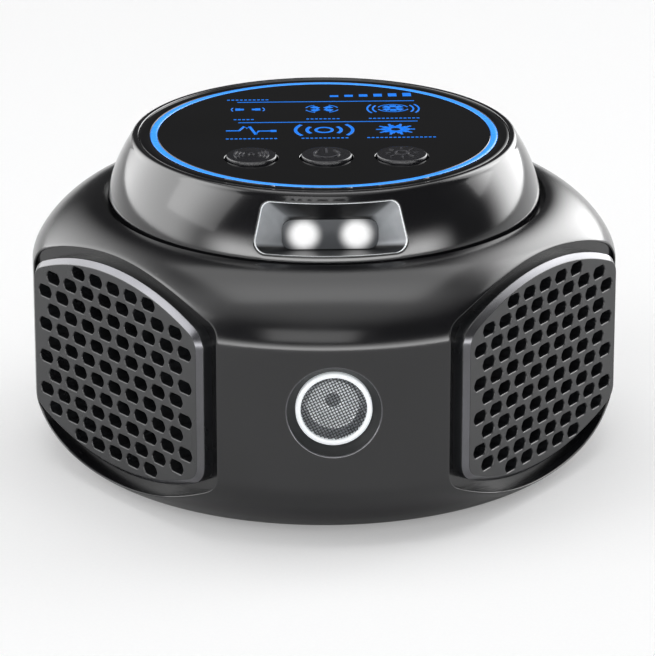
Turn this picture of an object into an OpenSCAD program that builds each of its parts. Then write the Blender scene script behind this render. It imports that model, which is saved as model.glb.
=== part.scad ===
// Ultrasonic pest repeller: a squat round housing with a lamp-lit crown, a touch-style display
// disc with three push buttons, four slotted horn panels and one small front transducer.
// Z = 0 is the surface it stands on, the display faces +Z and the lamp faces -Y.

/* [Housing] */
// Height of the top rim above the table
total_h = 82; // [80:0.5:86]
// Radius of the upright outer wall
wall_r = 73.8; // [73:0.1:75]
// Wall thickness of the housing mouldings
wall_t = 2.2; // [1.8:0.1:2.6]
// How far the rubber feet lift the housing
foot_h = 1; // [0.6:0.1:1.5]
// Thickness of the base plate
base_t = 2.2; // [1.8:0.1:3]

/* [Crown] */
// Radius of the flat rim at the top of the crown
rim_r = 48; // [47.6:0.1:48.4]
// Radius of the crown where it meets the housing
crown_r = 54.6; // [54:0.1:55]
// Width of the dark groove around the crown
groove_w = 1.3; // [0.8:0.1:1.8]
// Height of the crown above the groove
crown_h = 15.7; // [15:0.1:16.5]

/* [Display] */
// Outer radius of the light ring
ring_r = 43.6; // [43:0.1:44]
// Width of the light ring
ring_w = 1.7; // [1.2:0.1:2.2]
// Radius of a push button
button_r = 6.2; // [5:0.1:6.4]
// Distance between neighbouring buttons
button_pitch = 18.6; // [17:0.1:20]
// How far the buttons lie in front of the centre
button_y = -19.9; // [-22:0.1:-17]
// How far a button stands above the display
button_proud = 1; // [0.6:0.1:1.4]
// How far a button travels when it is pressed
button_travel = 0.8; // [0.4:0.1:0.8]

/* [Horn panels] */
// Angle between the front of the housing and a front panel
panel_angle = 53; // [51:0.5:54]
// Distance of a panel's face from the centre line
panel_dist = 66.4; // [66:0.1:66.8]
// Half the length of a panel's face
panel_half = 33.3; // [32.6:0.1:33.6]
// Height of a panel's face above and below its middle
panel_rise = 25.1; // [24.6:0.1:25.4]
// Radius of the arc along a panel's top and bottom edges
panel_arc_r = 78; // [74:1:84]
// Height of a panel's middle above the table
panel_z = 33.6; // [33:0.1:34]
// Distance between slot centres along a row
slot_pitch = 7.18; // [7:0.02:7.2]
// Distance between rows of slots
row_pitch = 4.4; // [4.3:0.05:4.45]

/* [Transducer] */
// Outer radius of the front transducer's ring
ear_r = 9.3; // [9:0.1:9.4]
// Height of the front transducer above the table
ear_z = 35.15; // [34:0.05:37]

/* [Hidden] */
$fn = 96;
eps = 0.01;

// Heights of the main levels
base_z = foot_h;
groove_z = total_h - crown_h;
groove_depth = 2;
deck_z = groove_z - groove_depth;
wall_top_z = 50.5;
wall_low_z = 15.5;
flange_z = base_z + base_t;
bottom_r = 60.6;
shoulder_r = crown_r + groove_w;

// Display stack, from the rim down
lens_t = 1.9;
lens_top = total_h - 0.1;
carrier_t = 2;
carrier_top = lens_top - lens_t;
carrier_z = carrier_top - carrier_t;
carrier_r = rim_r - 1.6;
carrier_notch = [40, 8.6];
carrier_notch_y = -54;
crown_bore_r = rim_r - 1.4;
board_t = 1.6;
board_top = carrier_z - 2.8;
board_r = 43;
board_notch = [34, 10];
board_notch_y = -44;
post_ring_r = 34;
post_count = 3;
post_start = 30;
post_r = 2.6;
switch_size = [6, 6, 2];
ring_led_count = 12;
ring_led_size = [2, 2, 1];
ring_led_r = ring_r - 2.1;
light_hole_r = 0.7;
icon_rows = [2.3, 20.2];
icon_led_size = [3.5, 2.8, 1.9];
controller_size = [12, 6, 1.8];
controller_y = 28;
chip_h = 1.8;
ring_in_r = ring_r - ring_w;
seam = 0.15;
well_r = button_r + 1.4;
button_hole_r = button_r + 0.45;
skirt_r = button_r + 0.9;
skirt_t = 1.1;
skirt_z = carrier_top - 1.6;
plunger_r = 1.2;
plunger_z = board_top + 0.6 + button_travel;
button_xs = [-button_pitch, 0, button_pitch];

// Horn panels: name order is front left, front right, rear left, rear right
panel_turns = [-panel_angle, panel_angle, panel_angle - 180, 180 - panel_angle];
bevel = 1.35;
plate_t = 4;
plate_back = panel_dist - plate_t;
pocket_gap = 2.6;
pocket_edge = bevel + pocket_gap;
frame_wall = 2;
frame_back = plate_back - 2.2;
window_inset = 1.5;
far_out = wall_r + 6;
slot_half = 2.7;
slot_flat = 1.5;
slot_rise = 1.55;
row_counts = [5, 8, 9, 8, 9, 8, 9, 8, 9, 8, 5];
horn_mouth_r = 19;
horn_throat_r = 6;
horn_throat = 40;
horn_wall = 1.6;
horn_back = 4;
flange_t = 2;
driver_r = 16;
driver_len = 7;
plug_r = [4, 1.5];
plug_len = 5;
lead_w = 2.4;
lead_t = 1;
speaker_lead_len = 22;

// Front transducer
ear_face = 71.5;
ear_recess_r = 11.3;
ear_ring_w = 1.25;
ear_seat_y = 62;
sleeve_t = 0.6;
can_r = ear_r - sleeve_t;
can_back = 59.5;
can_wall = 0.6;
ear_ring_t = 1.4;
ear_mesh_drop = 1.1;
ear_mesh_t = 0.3;
ear_seat_r = 13.5;
cone_stem_r = 2;
cone_stem_h = 5;
cone_mouth_r = 6.6;
cone_h = 4;
cone_wall = 0.3;
ear_lead_y = [24.5, can_back - 6];

// Lamp in the front of the crown
lamp_floor_y = 44.5;
lamp_lens_t = 1.2;
lamp_wall = 0.6;
lamp_corner = 2.8;
lamp_win_w = 12.1;
lamp_win_low = groove_z - 0.2;
lamp_win_high = groove_z + 7.9;
lamp_top_z = total_h - 2.4;
lamp_low_z = groove_z + 1.5;
lamp_board_y = 40.3;
lamp_board_t = 1.2;
lamp_led_x = 6.4;
lamp_led_z = groove_z + 3.8;
lamp_led_r = 2.5;
lamp_led_h = 1.5;
lamp_board_w = 32;
lamp_board_h = 7.6;
lamp_peg_x = 14.4;
lamp_peg_r = 1.1;
// Corners of the lamp's mouth: half width, height of the edge, radius, distance from the centre line
lamp_mouth_top = [14.2, lamp_top_z, 2.2, 47.4];
lamp_mouth_low = [16.6, lamp_low_z, 2.6, 50.3];
lamp_mouth_len = 12;

// Circuit board and socket
main_z = flange_z + 4;
main_x = 35;
main_y = 28;
main_hole_inset = 4;
main_post_r = 3;
transformer_size = [18, 16, 14];
transformer_at = [-9, -8];
capacitor_places = [[15, 8], [15, -2], [-16, 8]];
capacitor_r = 4;
capacitor_h = 11;
chip_places = [[-22, -16], [16, -16]];
chip_size = [6, 5, chip_h];
connector_size = [6, 12, 5];
connector_at = [28, -6];
ribbon_size = [0.8, 10];
ribbon_at = [30.6, -5];
jack_z = 20;
jack_face = wall_r - 0.5;
jack_bore_r = 3.1;
jack_pin_r = 1.05;
jack_pin_len = 8;
jack_hole_r = 4.2;
jack_barrel = [4.1, 6];
jack_block = [10, 11, 7];
jack_seat_r = 7.5;
jack_seat_t = 6;
deck_r = 44;
flange_r = 56;
foot_ring_r = 48;
foot_r = 6.5;
foot_seat = 0.6;
base_lap = 1.7;
base_gap = 0.2;

// Screw bosses, clearance holes and screws
boss_ring_r = 54;
boss_r = 3.6;
boss_h = 8;
crown_boss_r = 49.2;
crown_boss_w = 3.4;
crown_boss_h = 6;
clearance = 0.35;
base_screw = [2.8, 1.1, 1.25, 7];
board_screw = [2.4, 1.4, 1.05, 5];
crown_screw = [2.8, 1.6, 1.15, 6];
display_screw = [1.9, 1.3, 0.85, 4];

// Points of a quarter curve from (r0, z0) to (r1, z1), bulging outward and upward
function shoulder_curve(r0, z0, r1, z1, power, steps) =
    [for (i = [0:steps]) let (a = 90 * i / steps)
        [r0 + (r1 - r0) * pow(sin(a), power), z1 + (z0 - z1) * pow(cos(a), power)]];

// Section of the housing's outer skin, pulled in by an inset
function skin(inset) = concat(
    shoulder_curve(shoulder_r, groove_z - inset, wall_r - inset, wall_top_z, 1.3, 9),
    [for (p = shoulder_curve(bottom_r - inset, base_z - wall_low_z, wall_r - inset, 0, 1.25, 7))
        [p[0], wall_low_z + p[1]]]);

// Section points of the lower curve run the other way, from the wall down to the base
function reversed(v) = [for (i = [len(v) - 1:-1:0]) v[i]];

function outer_section(inset) = let (n = 10, s = skin(inset))
    concat([for (i = [0:n - 1]) s[i]], reversed([for (i = [n:len(s) - 1]) s[i]]));

// Section of the crown's outer skin: an arc that leans inward as it rises
crown_edge = 0.7;
crown_arc_steps = 8;
crown_bulge = 0.96;
crown_top_r = rim_r + 0.3;
function crown_skin(inset) = [for (i = [0:crown_arc_steps]) let (t = i / crown_arc_steps)
    [crown_r - inset - (crown_r - crown_top_r) * t + 4 * crown_bulge * t * (1 - t),
     groove_z + (crown_h - crown_edge) * t]];

module at_panel(i) {
    rotate([0, 0, panel_turns[i]]) rotate([90, 0, 0]) children();
}

module at_buttons() {
    for (x = button_xs) translate([x, button_y, 0]) children();
}

module at_posts() {
    on_ring(post_ring_r, post_count, post_start) children();
}

module at_board_corners() {
    for (x = [-1, 1], y = [-1, 1])
        translate([x * (main_x - main_hole_inset), y * (main_y - main_hole_inset), 0]) children();
}

module on_ring(r, count, start = 0) {
    for (i = [0:count - 1]) rotate([0, 0, start + 360 * i / count]) translate([r, 0, 0]) children();
}

module tube(r_out, r_in, h) {
    difference() {
        cylinder(r = r_out, h = h);
        translate([0, 0, -1]) cylinder(r = r_in, h = h + 2);
    }
}

// Outline of a horn panel: two shallow arcs cut off square at the ends
module panel_outline(grow = 0) {
    arc_y = panel_arc_r - panel_rise;
    intersection() {
        translate([0, -arc_y]) circle(r = panel_arc_r + grow, $fn = 180);
        translate([0, arc_y]) circle(r = panel_arc_r + grow, $fn = 180);
        square(2 * [panel_half + grow, 2 * panel_rise], center = true);
    }
}

module housing_solid(inset = 0) {
    rotate_extrude() polygon(concat([[0, groove_z - inset]], outer_section(inset), [[0, base_z]]));
}

module panel_prism(i, grow, from, to) {
    at_panel(i) translate([0, panel_z, from]) linear_extrude(to - from) panel_outline(grow);
}

module shell_blank() {
    difference() {
        union() {
            difference() {
                housing_solid();
                housing_solid(wall_t);
            }
            intersection() {
                housing_solid();
                union() {
                    for (i = [0:3]) panel_prism(i, pocket_edge + frame_wall, frame_back, far_out);
                    along_ear(ear_seat_y) cylinder(r = ear_seat_r, h = far_out - ear_seat_y);
                    along_jack(jack_seat_t) cylinder(r = jack_seat_r, h = 2 * jack_seat_t);
                    translate([0, 0, deck_z - wall_t])
                        tube(shoulder_r + wall_t, deck_r, wall_t + groove_depth);
                    translate([0, 0, base_z]) tube(wall_r, flange_r, base_t + wall_t);
                }
            }
            on_ring(boss_ring_r, 4) translate([0, 0, flange_z]) cylinder(r = boss_r, h = boss_h);
        }
        translate([0, 0, deck_z]) cylinder(r = shoulder_r, h = crown_h);
        translate([0, 0, deck_z - wall_t - 1]) cylinder(r = deck_r, h = crown_h);
        translate([0, 0, base_z - 1]) cylinder(r = bottom_r - base_lap, h = base_t + 1);
    }
}

module body_shell() {
    color("#26272b") difference() {
        shell_blank();
        for (i = [0:3]) {
            panel_prism(i, pocket_edge, plate_back, far_out);
            panel_prism(i, -window_inset, frame_back - 1, far_out);
        }
        on_ring(boss_ring_r, 4) translate([0, 0, flange_z - 1]) cylinder(r = base_screw[2], h = boss_h);
        on_ring(crown_boss_r, 4, 45) translate([0, 0, deck_z - wall_t - 1])
            cylinder(r = crown_screw[2] + clearance, h = crown_h);
        along_ear(ear_seat_y - 5) cylinder(r = ear_r, h = far_out - ear_seat_y);
        along_ear(ear_face) cylinder(r1 = ear_r, r2 = ear_recess_r + 1, h = wall_r - ear_face + 1);
        along_jack(jack_block[2] + jack_seat_t) cylinder(r = jack_hole_r, h = far_out - jack_z);
    }
}

module base_plate() {
    color("#1c1d20") difference() {
        union() {
            translate([0, 0, base_z]) cylinder(r = bottom_r - base_lap - base_gap, h = base_t);
            at_board_corners() translate([0, 0, flange_z]) cylinder(r = main_post_r, h = main_z - flange_z);
        }
        on_ring(boss_ring_r, 4) {
            translate([0, 0, base_z - 1]) cylinder(r = base_screw[2] + clearance, h = base_t + 2);
            translate([0, 0, base_z - 1]) cylinder(r = base_screw[0] + 0.3, h = 1 + base_screw[1] + 0.1);
        }
        at_board_corners() translate([0, 0, base_z + 1]) cylinder(r = board_screw[2] + 0.05, h = main_z);
        on_ring(foot_ring_r, 4, 45) translate([0, 0, base_z - 1])
            cylinder(r = foot_r + 0.1, h = 1 + foot_seat);
    }
}

// The lamp's recess: a funnel from the flat window out to a wider mouth in the curved crown
module lamp_funnel(grow, back) {
    hull() {
        for (x = [-1, 1]) {
            for (z = [lamp_win_low, lamp_win_high])
                lamp_rod(x * (lamp_win_w - lamp_corner), z - sign(z - lamp_led_z) * lamp_corner,
                         lamp_floor_y - back, lamp_corner + grow, back + 0.05);
            lamp_mouth_corner(x, lamp_mouth_top, -1, grow);
            lamp_mouth_corner(x, lamp_mouth_low, 1, grow);
        }
    }
}

module lamp_mouth_corner(side, corner, inward, grow) {
    lamp_rod(side * corner[0], corner[1] + inward * corner[2], corner[3], corner[2] + grow, lamp_mouth_len);
}

module lamp_rod(x, z, y, r, length) {
    translate([x, -y, z]) rotate([90, 0, 0]) cylinder(r = r, h = length, $fn = 32);
}

module lamp_window(grow, from, to) {
    translate([0, -from, 0]) rotate([90, 0, 0]) linear_extrude(to - from) hull() {
        for (x = [-1, 1], z = [lamp_win_low, lamp_win_high])
            translate([x * (lamp_win_w - lamp_corner), z - sign(z - lamp_led_z) * lamp_corner])
                circle(r = lamp_corner + grow, $fn = 32);
    }
}

module crown() {
    inner = crown_skin(wall_t);
    color("#303136") difference() {
        rotate_extrude() polygon(concat(
            [[crown_r, deck_z]], crown_skin(0), [[rim_r - 0.2, total_h], [crown_bore_r, total_h],
             [crown_bore_r, carrier_z], [deck_r, carrier_z], [deck_r, carrier_z - wall_t]],
            [for (i = [4:-1:0]) inner[i]], [[crown_r - wall_t, deck_z]]));
        lamp_funnel(lamp_wall + 0.05, lamp_lens_t);
    }
    color("#303136") crown_bosses();
}

module crown_bosses() {
    on_ring(crown_boss_r, 4, 45) difference() {
        translate([0, 0, deck_z]) cylinder(r = crown_boss_w, h = crown_boss_h);
        translate([0, 0, deck_z - 1]) cylinder(r = crown_screw[2] + 0.05, h = crown_boss_h + 0.5);
    }
}

module trim_ring() {
    color("#17181b") translate([0, 0, carrier_top]) tube(crown_bore_r - seam, ring_r + seam, lens_t);
}

module light_ring() {
    color("#3d9bf5") translate([0, 0, carrier_top - 1]) tube(ring_r, ring_in_r, lens_t + 1);
}

module display_lens() {
    color("#111215") difference() {
        translate([0, 0, carrier_top]) cylinder(r = ring_in_r - seam, h = lens_t);
        at_buttons() translate([0, 0, carrier_top - 1]) cylinder(r = button_hole_r, h = 5);
    }
}

module display_carrier() {
    color("#c9ccd2") difference() {
        union() {
            translate([0, 0, carrier_z]) cylinder(r = carrier_r, h = carrier_t);
            at_posts() translate([0, 0, board_top]) cylinder(r = post_r, h = carrier_z - board_top + 0.5);
        }
        translate([-carrier_notch[0] / 2, carrier_notch_y, carrier_z - 1])
            cube([carrier_notch[0], carrier_notch[1], carrier_t + 3]);
        at_buttons() translate([0, 0, carrier_z - 1]) cylinder(r = well_r, h = 5);
        translate([0, 0, carrier_top - 1]) tube(ring_r + seam, ring_in_r - seam, 2);
        on_ring(ring_r - ring_w / 2, ring_led_count) translate([0, 0, carrier_z - 1])
            cylinder(r = light_hole_r, h = carrier_t + 3);
        at_posts() translate([0, 0, board_top - 1]) cylinder(r = display_screw[2] + 0.05, h = 4);
    }
}

// A push button: cap, retaining skirt and the plunger that works the switch
module push_button(x) {
    translate([x, button_y, 0]) {
        translate([0, 0, skirt_z]) cylinder(r = button_r, h = total_h + button_proud - skirt_z);
        translate([0, 0, skirt_z]) cylinder(r = skirt_r, h = skirt_t);
        translate([0, 0, plunger_z]) cylinder(r = plunger_r, h = skirt_z - plunger_z + eps);
    }
}

module button_sound() {
    color("#2c2d31") push_button(button_xs[0]);
}

module button_power() {
    color("#2c2d31") push_button(button_xs[1]);
}

module button_light() {
    color("#2c2d31") push_button(button_xs[2]);
}

module display_board() {
    color("#1d5b3a") difference() {
        translate([0, 0, board_top - board_t]) cylinder(r = board_r, h = board_t);
        at_posts() translate([0, 0, board_top - board_t - 1]) cylinder(r = display_screw[2] + 0.25, h = 4);
        translate([0, board_notch_y, board_top]) cube([board_notch[0], board_notch[1], 8], center = true);
    }
}

module switch_cases() {
    color("#d8d8d0") at_buttons() difference() {
        translate([-switch_size[0] / 2, -switch_size[1] / 2, board_top]) cube(switch_size);
        translate([0, 0, board_top + 0.4]) cylinder(r = plunger_r + 0.3, h = switch_size[2]);
    }
}

module ring_leds() {
    color("#f4f2e4") on_ring(ring_led_r, ring_led_count)
        translate([-ring_led_size[0] / 2, -ring_led_size[1] / 2, board_top]) cube(ring_led_size);
}

module icon_leds() {
    color("#f4f2e4") for (x = button_xs, y = icon_rows)
        translate([x - icon_led_size[0] / 2, y - icon_led_size[1] / 2, board_top]) cube(icon_led_size);
}

module controller_chip() {
    color("#1a1a1c") translate([-controller_size[0] / 2, controller_y, board_top]) cube(controller_size);
}

module lamp_reflector() {
    back_y = lamp_floor_y - lamp_lens_t;
    color("#9a9ca0") difference() {
        intersection() {
            lamp_funnel(lamp_wall, lamp_lens_t);
            translate([0, 0, deck_z])
                cylinder(r1 = crown_r - 0.4, r2 = crown_top_r - 0.4, h = total_h - deck_z);
        }
        lamp_funnel(0, 0);
        lamp_window(-0.2, back_y - 1, lamp_floor_y + 1);
    }
    color("#9a9ca0") for (x = [-lamp_peg_x, lamp_peg_x])
        translate([x, -lamp_board_y - lamp_board_t, lamp_led_z]) rotate([90, 0, 0])
            cylinder(r = lamp_peg_r, h = back_y - lamp_board_y - lamp_board_t + 0.8);
}

module lamp_lens() {
    color("#e6f0ff", 0.5) lamp_window(-0.25, lamp_floor_y - lamp_lens_t, lamp_floor_y);
}

module lamp_board() {
    color("#e9e9e6") translate([-lamp_board_w / 2, -lamp_board_y - lamp_board_t, lamp_win_low - 0.6])
        cube([lamp_board_w, lamp_board_t, lamp_board_h]);
}

module lamp_leds() {
    color("#fffbe8") for (x = [-lamp_led_x, lamp_led_x])
        translate([x, -lamp_board_y - lamp_board_t, lamp_led_z]) rotate([90, 0, 0])
            cylinder(r = lamp_led_r, h = lamp_led_h);
}

module along_ear(y) {
    translate([0, -y, ear_z]) rotate([90, 0, 0]) children();
}

// Local Z points out of the back, from a depth behind the socket's face
module along_jack(depth) {
    translate([0, jack_face - depth, jack_z]) rotate([-90, 0, 0]) children();
}

module transducer_ring() {
    color("#eef0f2") along_ear(ear_face - ear_ring_t) tube(ear_r - 0.05, ear_r - ear_ring_w, ear_ring_t);
}

module transducer_mesh() {
    color("#8d9095") along_ear(ear_face - ear_mesh_drop)
        cylinder(r = ear_r - ear_ring_w - 0.05, h = ear_mesh_t);
}

module transducer_can() {
    color("#c2c5c9") along_ear(can_back) difference() {
        cylinder(r = can_r, h = ear_face - ear_ring_t - can_back);
        translate([0, 0, 1]) cylinder(r = can_r - can_wall, h = ear_face - can_back);
    }
}

module transducer_cone() {
    color("#e4e6e8") along_ear(can_back + 1) difference() {
        union() {
            cylinder(r = cone_stem_r, h = cone_stem_h);
            translate([0, 0, cone_stem_h]) cylinder(r1 = cone_stem_r, r2 = cone_mouth_r, h = cone_h);
        }
        translate([0, 0, cone_stem_h + 2 * cone_wall])
            cylinder(r1 = cone_stem_r - 0.1, r2 = cone_mouth_r - cone_wall, h = cone_h);
    }
}

module transducer_sleeve() {
    color("#1a1a1c") along_ear(ear_seat_y) tube(ear_r - 0.05, can_r, ear_face - ear_ring_t - ear_seat_y);
}

// Lead from the front transducer, down and back to the main board
module transducer_lead() {
    low = main_z + board_t;
    color("#b03030") translate([lead_w / 2, 0, 0]) rotate([90, 0, -90]) linear_extrude(lead_w) polygon([
        [can_back, ear_z + lead_t], [ear_lead_y[1], ear_z + lead_t], [ear_lead_y[0], low],
        [ear_lead_y[0] + 1.2 * lead_t, low], [ear_lead_y[1] + 0.6 * lead_t, ear_z], [can_back, ear_z]]);
}

// A slotted plate with a bevelled edge, face outward along its local Z
module grille_plate() {
    arc_y = panel_arc_r - panel_rise;
    difference() {
        intersection() {
            linear_extrude(plate_t) panel_outline(bevel);
            for (s = [-1, 1]) translate([0, s * arc_y, 0]) union() {
                cylinder(r = panel_arc_r + bevel, h = plate_t - bevel, $fn = 180);
                translate([0, 0, plate_t - bevel])
                    cylinder(r1 = panel_arc_r + bevel, r2 = panel_arc_r, h = bevel, $fn = 180);
            }
            rotate([90, 0, 0]) linear_extrude(4 * panel_rise, center = true) polygon([
                [-panel_half - bevel, 0], [panel_half + bevel, 0],
                [panel_half + bevel, plate_t - bevel], [panel_half, plate_t],
                [-panel_half, plate_t], [-panel_half - bevel, plate_t - bevel]]);
        }
        translate([0, 0, -1]) linear_extrude(plate_t + 2) grille_slots();
    }
}

module grille_slots() {
    last = len(row_counts) - 1;
    for (row = [0:last], k = [0:row_counts[row] - 1])
        translate([(k - (row_counts[row] - 1) / 2) * slot_pitch, (row - last / 2) * row_pitch])
            polygon([[-slot_half, 0], [-slot_flat, -slot_rise], [slot_flat, -slot_rise],
                     [slot_half, 0], [slot_flat, slot_rise], [-slot_flat, slot_rise]]);
}

module place_grille(i) {
    color("#2a2b2f") at_panel(i) translate([0, panel_z, plate_back]) grille_plate();
}

module grille_front_left() {
    place_grille(0);
}

module grille_front_right() {
    place_grille(1);
}

module grille_rear_left() {
    place_grille(2);
}

module grille_rear_right() {
    place_grille(3);
}

// A flared horn with a flat flange that closes the panel's window
module place_horn(i) {
    mouth = plate_back - flange_t;
    color("#55585c") at_panel(i) translate([0, panel_z, 0]) difference() {
        union() {
            translate([0, 0, mouth]) linear_extrude(flange_t) panel_outline(-window_inset - 0.2);
            translate([0, 0, horn_throat]) cylinder(
                r1 = horn_throat_r + horn_wall, r2 = horn_mouth_r + horn_wall, h = mouth - horn_throat);
            translate([0, 0, horn_throat]) cylinder(r = driver_r, h = horn_back);
        }
        translate([0, 0, horn_throat])
            cylinder(r1 = horn_throat_r, r2 = horn_mouth_r, h = mouth - horn_throat);
        translate([0, 0, mouth - eps]) cylinder(r = horn_mouth_r, h = 2 * flange_t);
        translate([0, 0, horn_throat - 1]) cylinder(r = horn_throat_r, h = 2);
    }
}

module horn_front_left() {
    place_horn(0);
}

module horn_front_right() {
    place_horn(1);
}

module horn_rear_left() {
    place_horn(2);
}

module horn_rear_right() {
    place_horn(3);
}

// A closed can with a small phase plug that reaches into the horn's throat
module place_driver(i) {
    color("#7d8086") at_panel(i) translate([0, panel_z, horn_throat - driver_len]) {
        cylinder(r = driver_r, h = driver_len);
        translate([0, 0, driver_len - eps]) cylinder(r1 = plug_r[0], r2 = plug_r[1], h = plug_len);
    }
}

module driver_front_left() {
    place_driver(0);
}

module driver_front_right() {
    place_driver(1);
}

module driver_rear_left() {
    place_driver(2);
}

module driver_rear_right() {
    place_driver(3);
}

module speaker_leads() {
    lead_from = horn_throat - driver_len;
    color("#b03030") for (i = [0:3]) at_panel(i)
        translate([-lead_w / 2, main_z + board_t, lead_from - lead_t])
            cube([lead_w, speaker_lead_len, lead_t]);
}

module main_board() {
    color("#1d5b3a") difference() {
        translate([-main_x, -main_y, main_z]) cube([2 * main_x, 2 * main_y, board_t]);
        at_board_corners() translate([0, 0, main_z - 1]) cylinder(r = board_screw[2] + 0.25, h = board_t + 2);
    }
}

module transformer() {
    color("#c98f2f") translate([transformer_at[0], transformer_at[1], main_z + board_t])
        cube(transformer_size);
}

module capacitors() {
    color("#22314f") for (p = capacitor_places)
        translate([p[0], p[1], main_z + board_t]) cylinder(r = capacitor_r, h = capacitor_h);
}

module driver_chips() {
    color("#1a1a1c") for (p = chip_places) translate([p[0], p[1], main_z + board_t]) cube(chip_size);
}

module board_connectors() {
    color("#e6e2d6") {
        for (z = [main_z + board_t, board_top - board_t - connector_size[2]])
            translate([connector_at[0], connector_at[1], z]) cube(connector_size);
    }
}

module ribbon_cable() {
    low = main_z + board_t + connector_size[2];
    high = board_top - board_t - connector_size[2];
    color("#d9dade") translate([ribbon_at[0], ribbon_at[1], low])
        cube([ribbon_size[0], ribbon_size[1], high - low]);
}

module dc_jack() {
    color("#131416") translate([0, jack_face, jack_z]) rotate([90, 0, 0]) difference() {
        union() {
            cylinder(r = jack_barrel[0], h = jack_barrel[1]);
            translate([-jack_block[0] / 2, -jack_block[1] / 2, jack_barrel[1]]) cube(jack_block);
        }
        translate([0, 0, -1]) cylinder(r = jack_bore_r, h = jack_pin_len + 2);
    }
}

module dc_jack_pin() {
    color("#cfd2d6") translate([0, jack_face - 0.5, jack_z]) rotate([90, 0, 0])
        cylinder(r = jack_pin_r, h = jack_pin_len + 0.5);
}

module rubber_feet() {
    color("#141416") on_ring(foot_ring_r, 4, 45) cylinder(r = foot_r, h = foot_h + foot_seat);
}

// A screw with its head at the origin and its shank along +Z: head radius, head height, shank radius, length
module screw(size) {
    cylinder(r = size[0], h = size[1]);
    translate([0, 0, size[1] - eps]) cylinder(r = size[2], h = size[3] + eps);
}

module base_screws() {
    color("#a7a9ad") on_ring(boss_ring_r, 4) translate([0, 0, base_z + 0.1]) screw(base_screw);
}

module board_screws() {
    color("#a7a9ad") at_board_corners() translate([0, 0, main_z + board_t + board_screw[1]])
        mirror([0, 0, 1]) screw(board_screw);
}

module crown_screws() {
    color("#a7a9ad") on_ring(crown_boss_r, 4, 45) translate([0, 0, deck_z - wall_t - crown_screw[1]])
        screw(crown_screw);
}

module display_screws() {
    color("#a7a9ad") at_posts() translate([0, 0, board_top - board_t - display_screw[1]])
        screw(display_screw);
}

body_shell();
base_plate();
crown();
trim_ring();
light_ring();
display_lens();
display_carrier();
button_sound();
button_power();
button_light();
display_board();
switch_cases();
ring_leds();
icon_leds();
controller_chip();
lamp_reflector();
lamp_lens();
lamp_leds();
lamp_board();
transducer_ring();
transducer_mesh();
transducer_cone();
transducer_can();
transducer_sleeve();
transducer_lead();
grille_front_left();
grille_front_right();
grille_rear_left();
grille_rear_right();
horn_front_left();
horn_front_right();
horn_rear_left();
horn_rear_right();
driver_front_left();
driver_front_right();
driver_rear_left();
driver_rear_right();
speaker_leads();
main_board();
transformer();
capacitors();
driver_chips();
board_connectors();
ribbon_cable();
dc_jack();
dc_jack_pin();
rubber_feet();
base_screws();
board_screws();
crown_screws();
display_screws();
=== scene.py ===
# %% [markdown]
# # Ultrasonic pest repeller
# A squat round appliance: a black moulded housing, a leaning crown with a lamp, a glossy display
# disc with a blue light ring and three push buttons, and four slotted horn panels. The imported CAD
# model is loaded first and stays as it is. Every piece made here stands in the same frame, so it
# goes where the CAD says. Sizes below are in millimetres and turn to metres in one helper.

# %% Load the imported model
import bpy
import bmesh
import math
from bisect import bisect_right
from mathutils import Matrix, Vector
from mathutils.geometry import delaunay_2d_cdt


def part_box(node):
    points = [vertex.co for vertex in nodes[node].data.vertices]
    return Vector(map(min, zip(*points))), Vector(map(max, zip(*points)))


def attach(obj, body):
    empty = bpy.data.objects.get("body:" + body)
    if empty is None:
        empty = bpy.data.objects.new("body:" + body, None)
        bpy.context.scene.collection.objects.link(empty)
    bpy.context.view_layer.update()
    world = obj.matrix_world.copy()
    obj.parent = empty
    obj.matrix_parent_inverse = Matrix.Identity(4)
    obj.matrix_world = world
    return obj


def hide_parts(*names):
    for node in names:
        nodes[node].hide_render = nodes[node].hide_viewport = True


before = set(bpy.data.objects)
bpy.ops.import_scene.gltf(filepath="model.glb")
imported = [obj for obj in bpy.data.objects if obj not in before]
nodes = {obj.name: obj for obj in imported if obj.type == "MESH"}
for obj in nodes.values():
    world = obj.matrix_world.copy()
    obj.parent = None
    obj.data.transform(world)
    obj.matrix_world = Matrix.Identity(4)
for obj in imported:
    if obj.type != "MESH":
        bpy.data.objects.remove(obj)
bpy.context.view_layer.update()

MM = 0.001

# %% [markdown]
# The driving sizes are read from the boxes of CAD nodes, so this script follows the CAD if a size
# changes. Only what a box can't tell, such as a corner radius, is written as a number.


# %% Sizes from the frame
def top_of(name):
    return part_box(name)[1][2] / MM


def foot_of(name):
    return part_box(name)[0][2] / MM


def reach_of(name, axis):
    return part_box(name)[1][axis] / MM


RIM_Z = top_of("crown")
CROWN_FOOT_Z = foot_of("crown")
GROOVE_Z = CROWN_FOOT_Z + 2.0
BASE_Z = foot_of("body_shell")
WALL_R = reach_of("body_shell", 1)
CROWN_R = reach_of("crown", 1)
GROOVE_W = 1.3
SHOULDER_R = CROWN_R + GROOVE_W
BOTTOM_R = 60.6
WALL_TOP_Z = 50.5
WALL_LOW_Z = 15.5
DISC_Z = top_of("display_lens")
RING_R = reach_of("light_ring", 0)
RING_W = 1.7
BUTTON_TOP = top_of("button_power")
EAR_LOW, EAR_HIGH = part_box("transducer_ring")
EAR_R = (EAR_HIGH[0] - EAR_LOW[0]) / 2 / MM
EAR_Z = (EAR_HIGH[2] + EAR_LOW[2]) / 2 / MM
EAR_FACE = -EAR_LOW[1] / MM
PANEL_Z = (foot_of("grille_front_left") + top_of("grille_front_left")) / 2
PANEL_TURNS = {"front_left": -53, "front_right": 53, "rear_left": -127, "rear_right": 127}
PANEL_DIST = 66.4
print("rim", RIM_Z, "wall radius", WALL_R, "transducer", EAR_R, EAR_Z, "panel middle", PANEL_Z)

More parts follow.
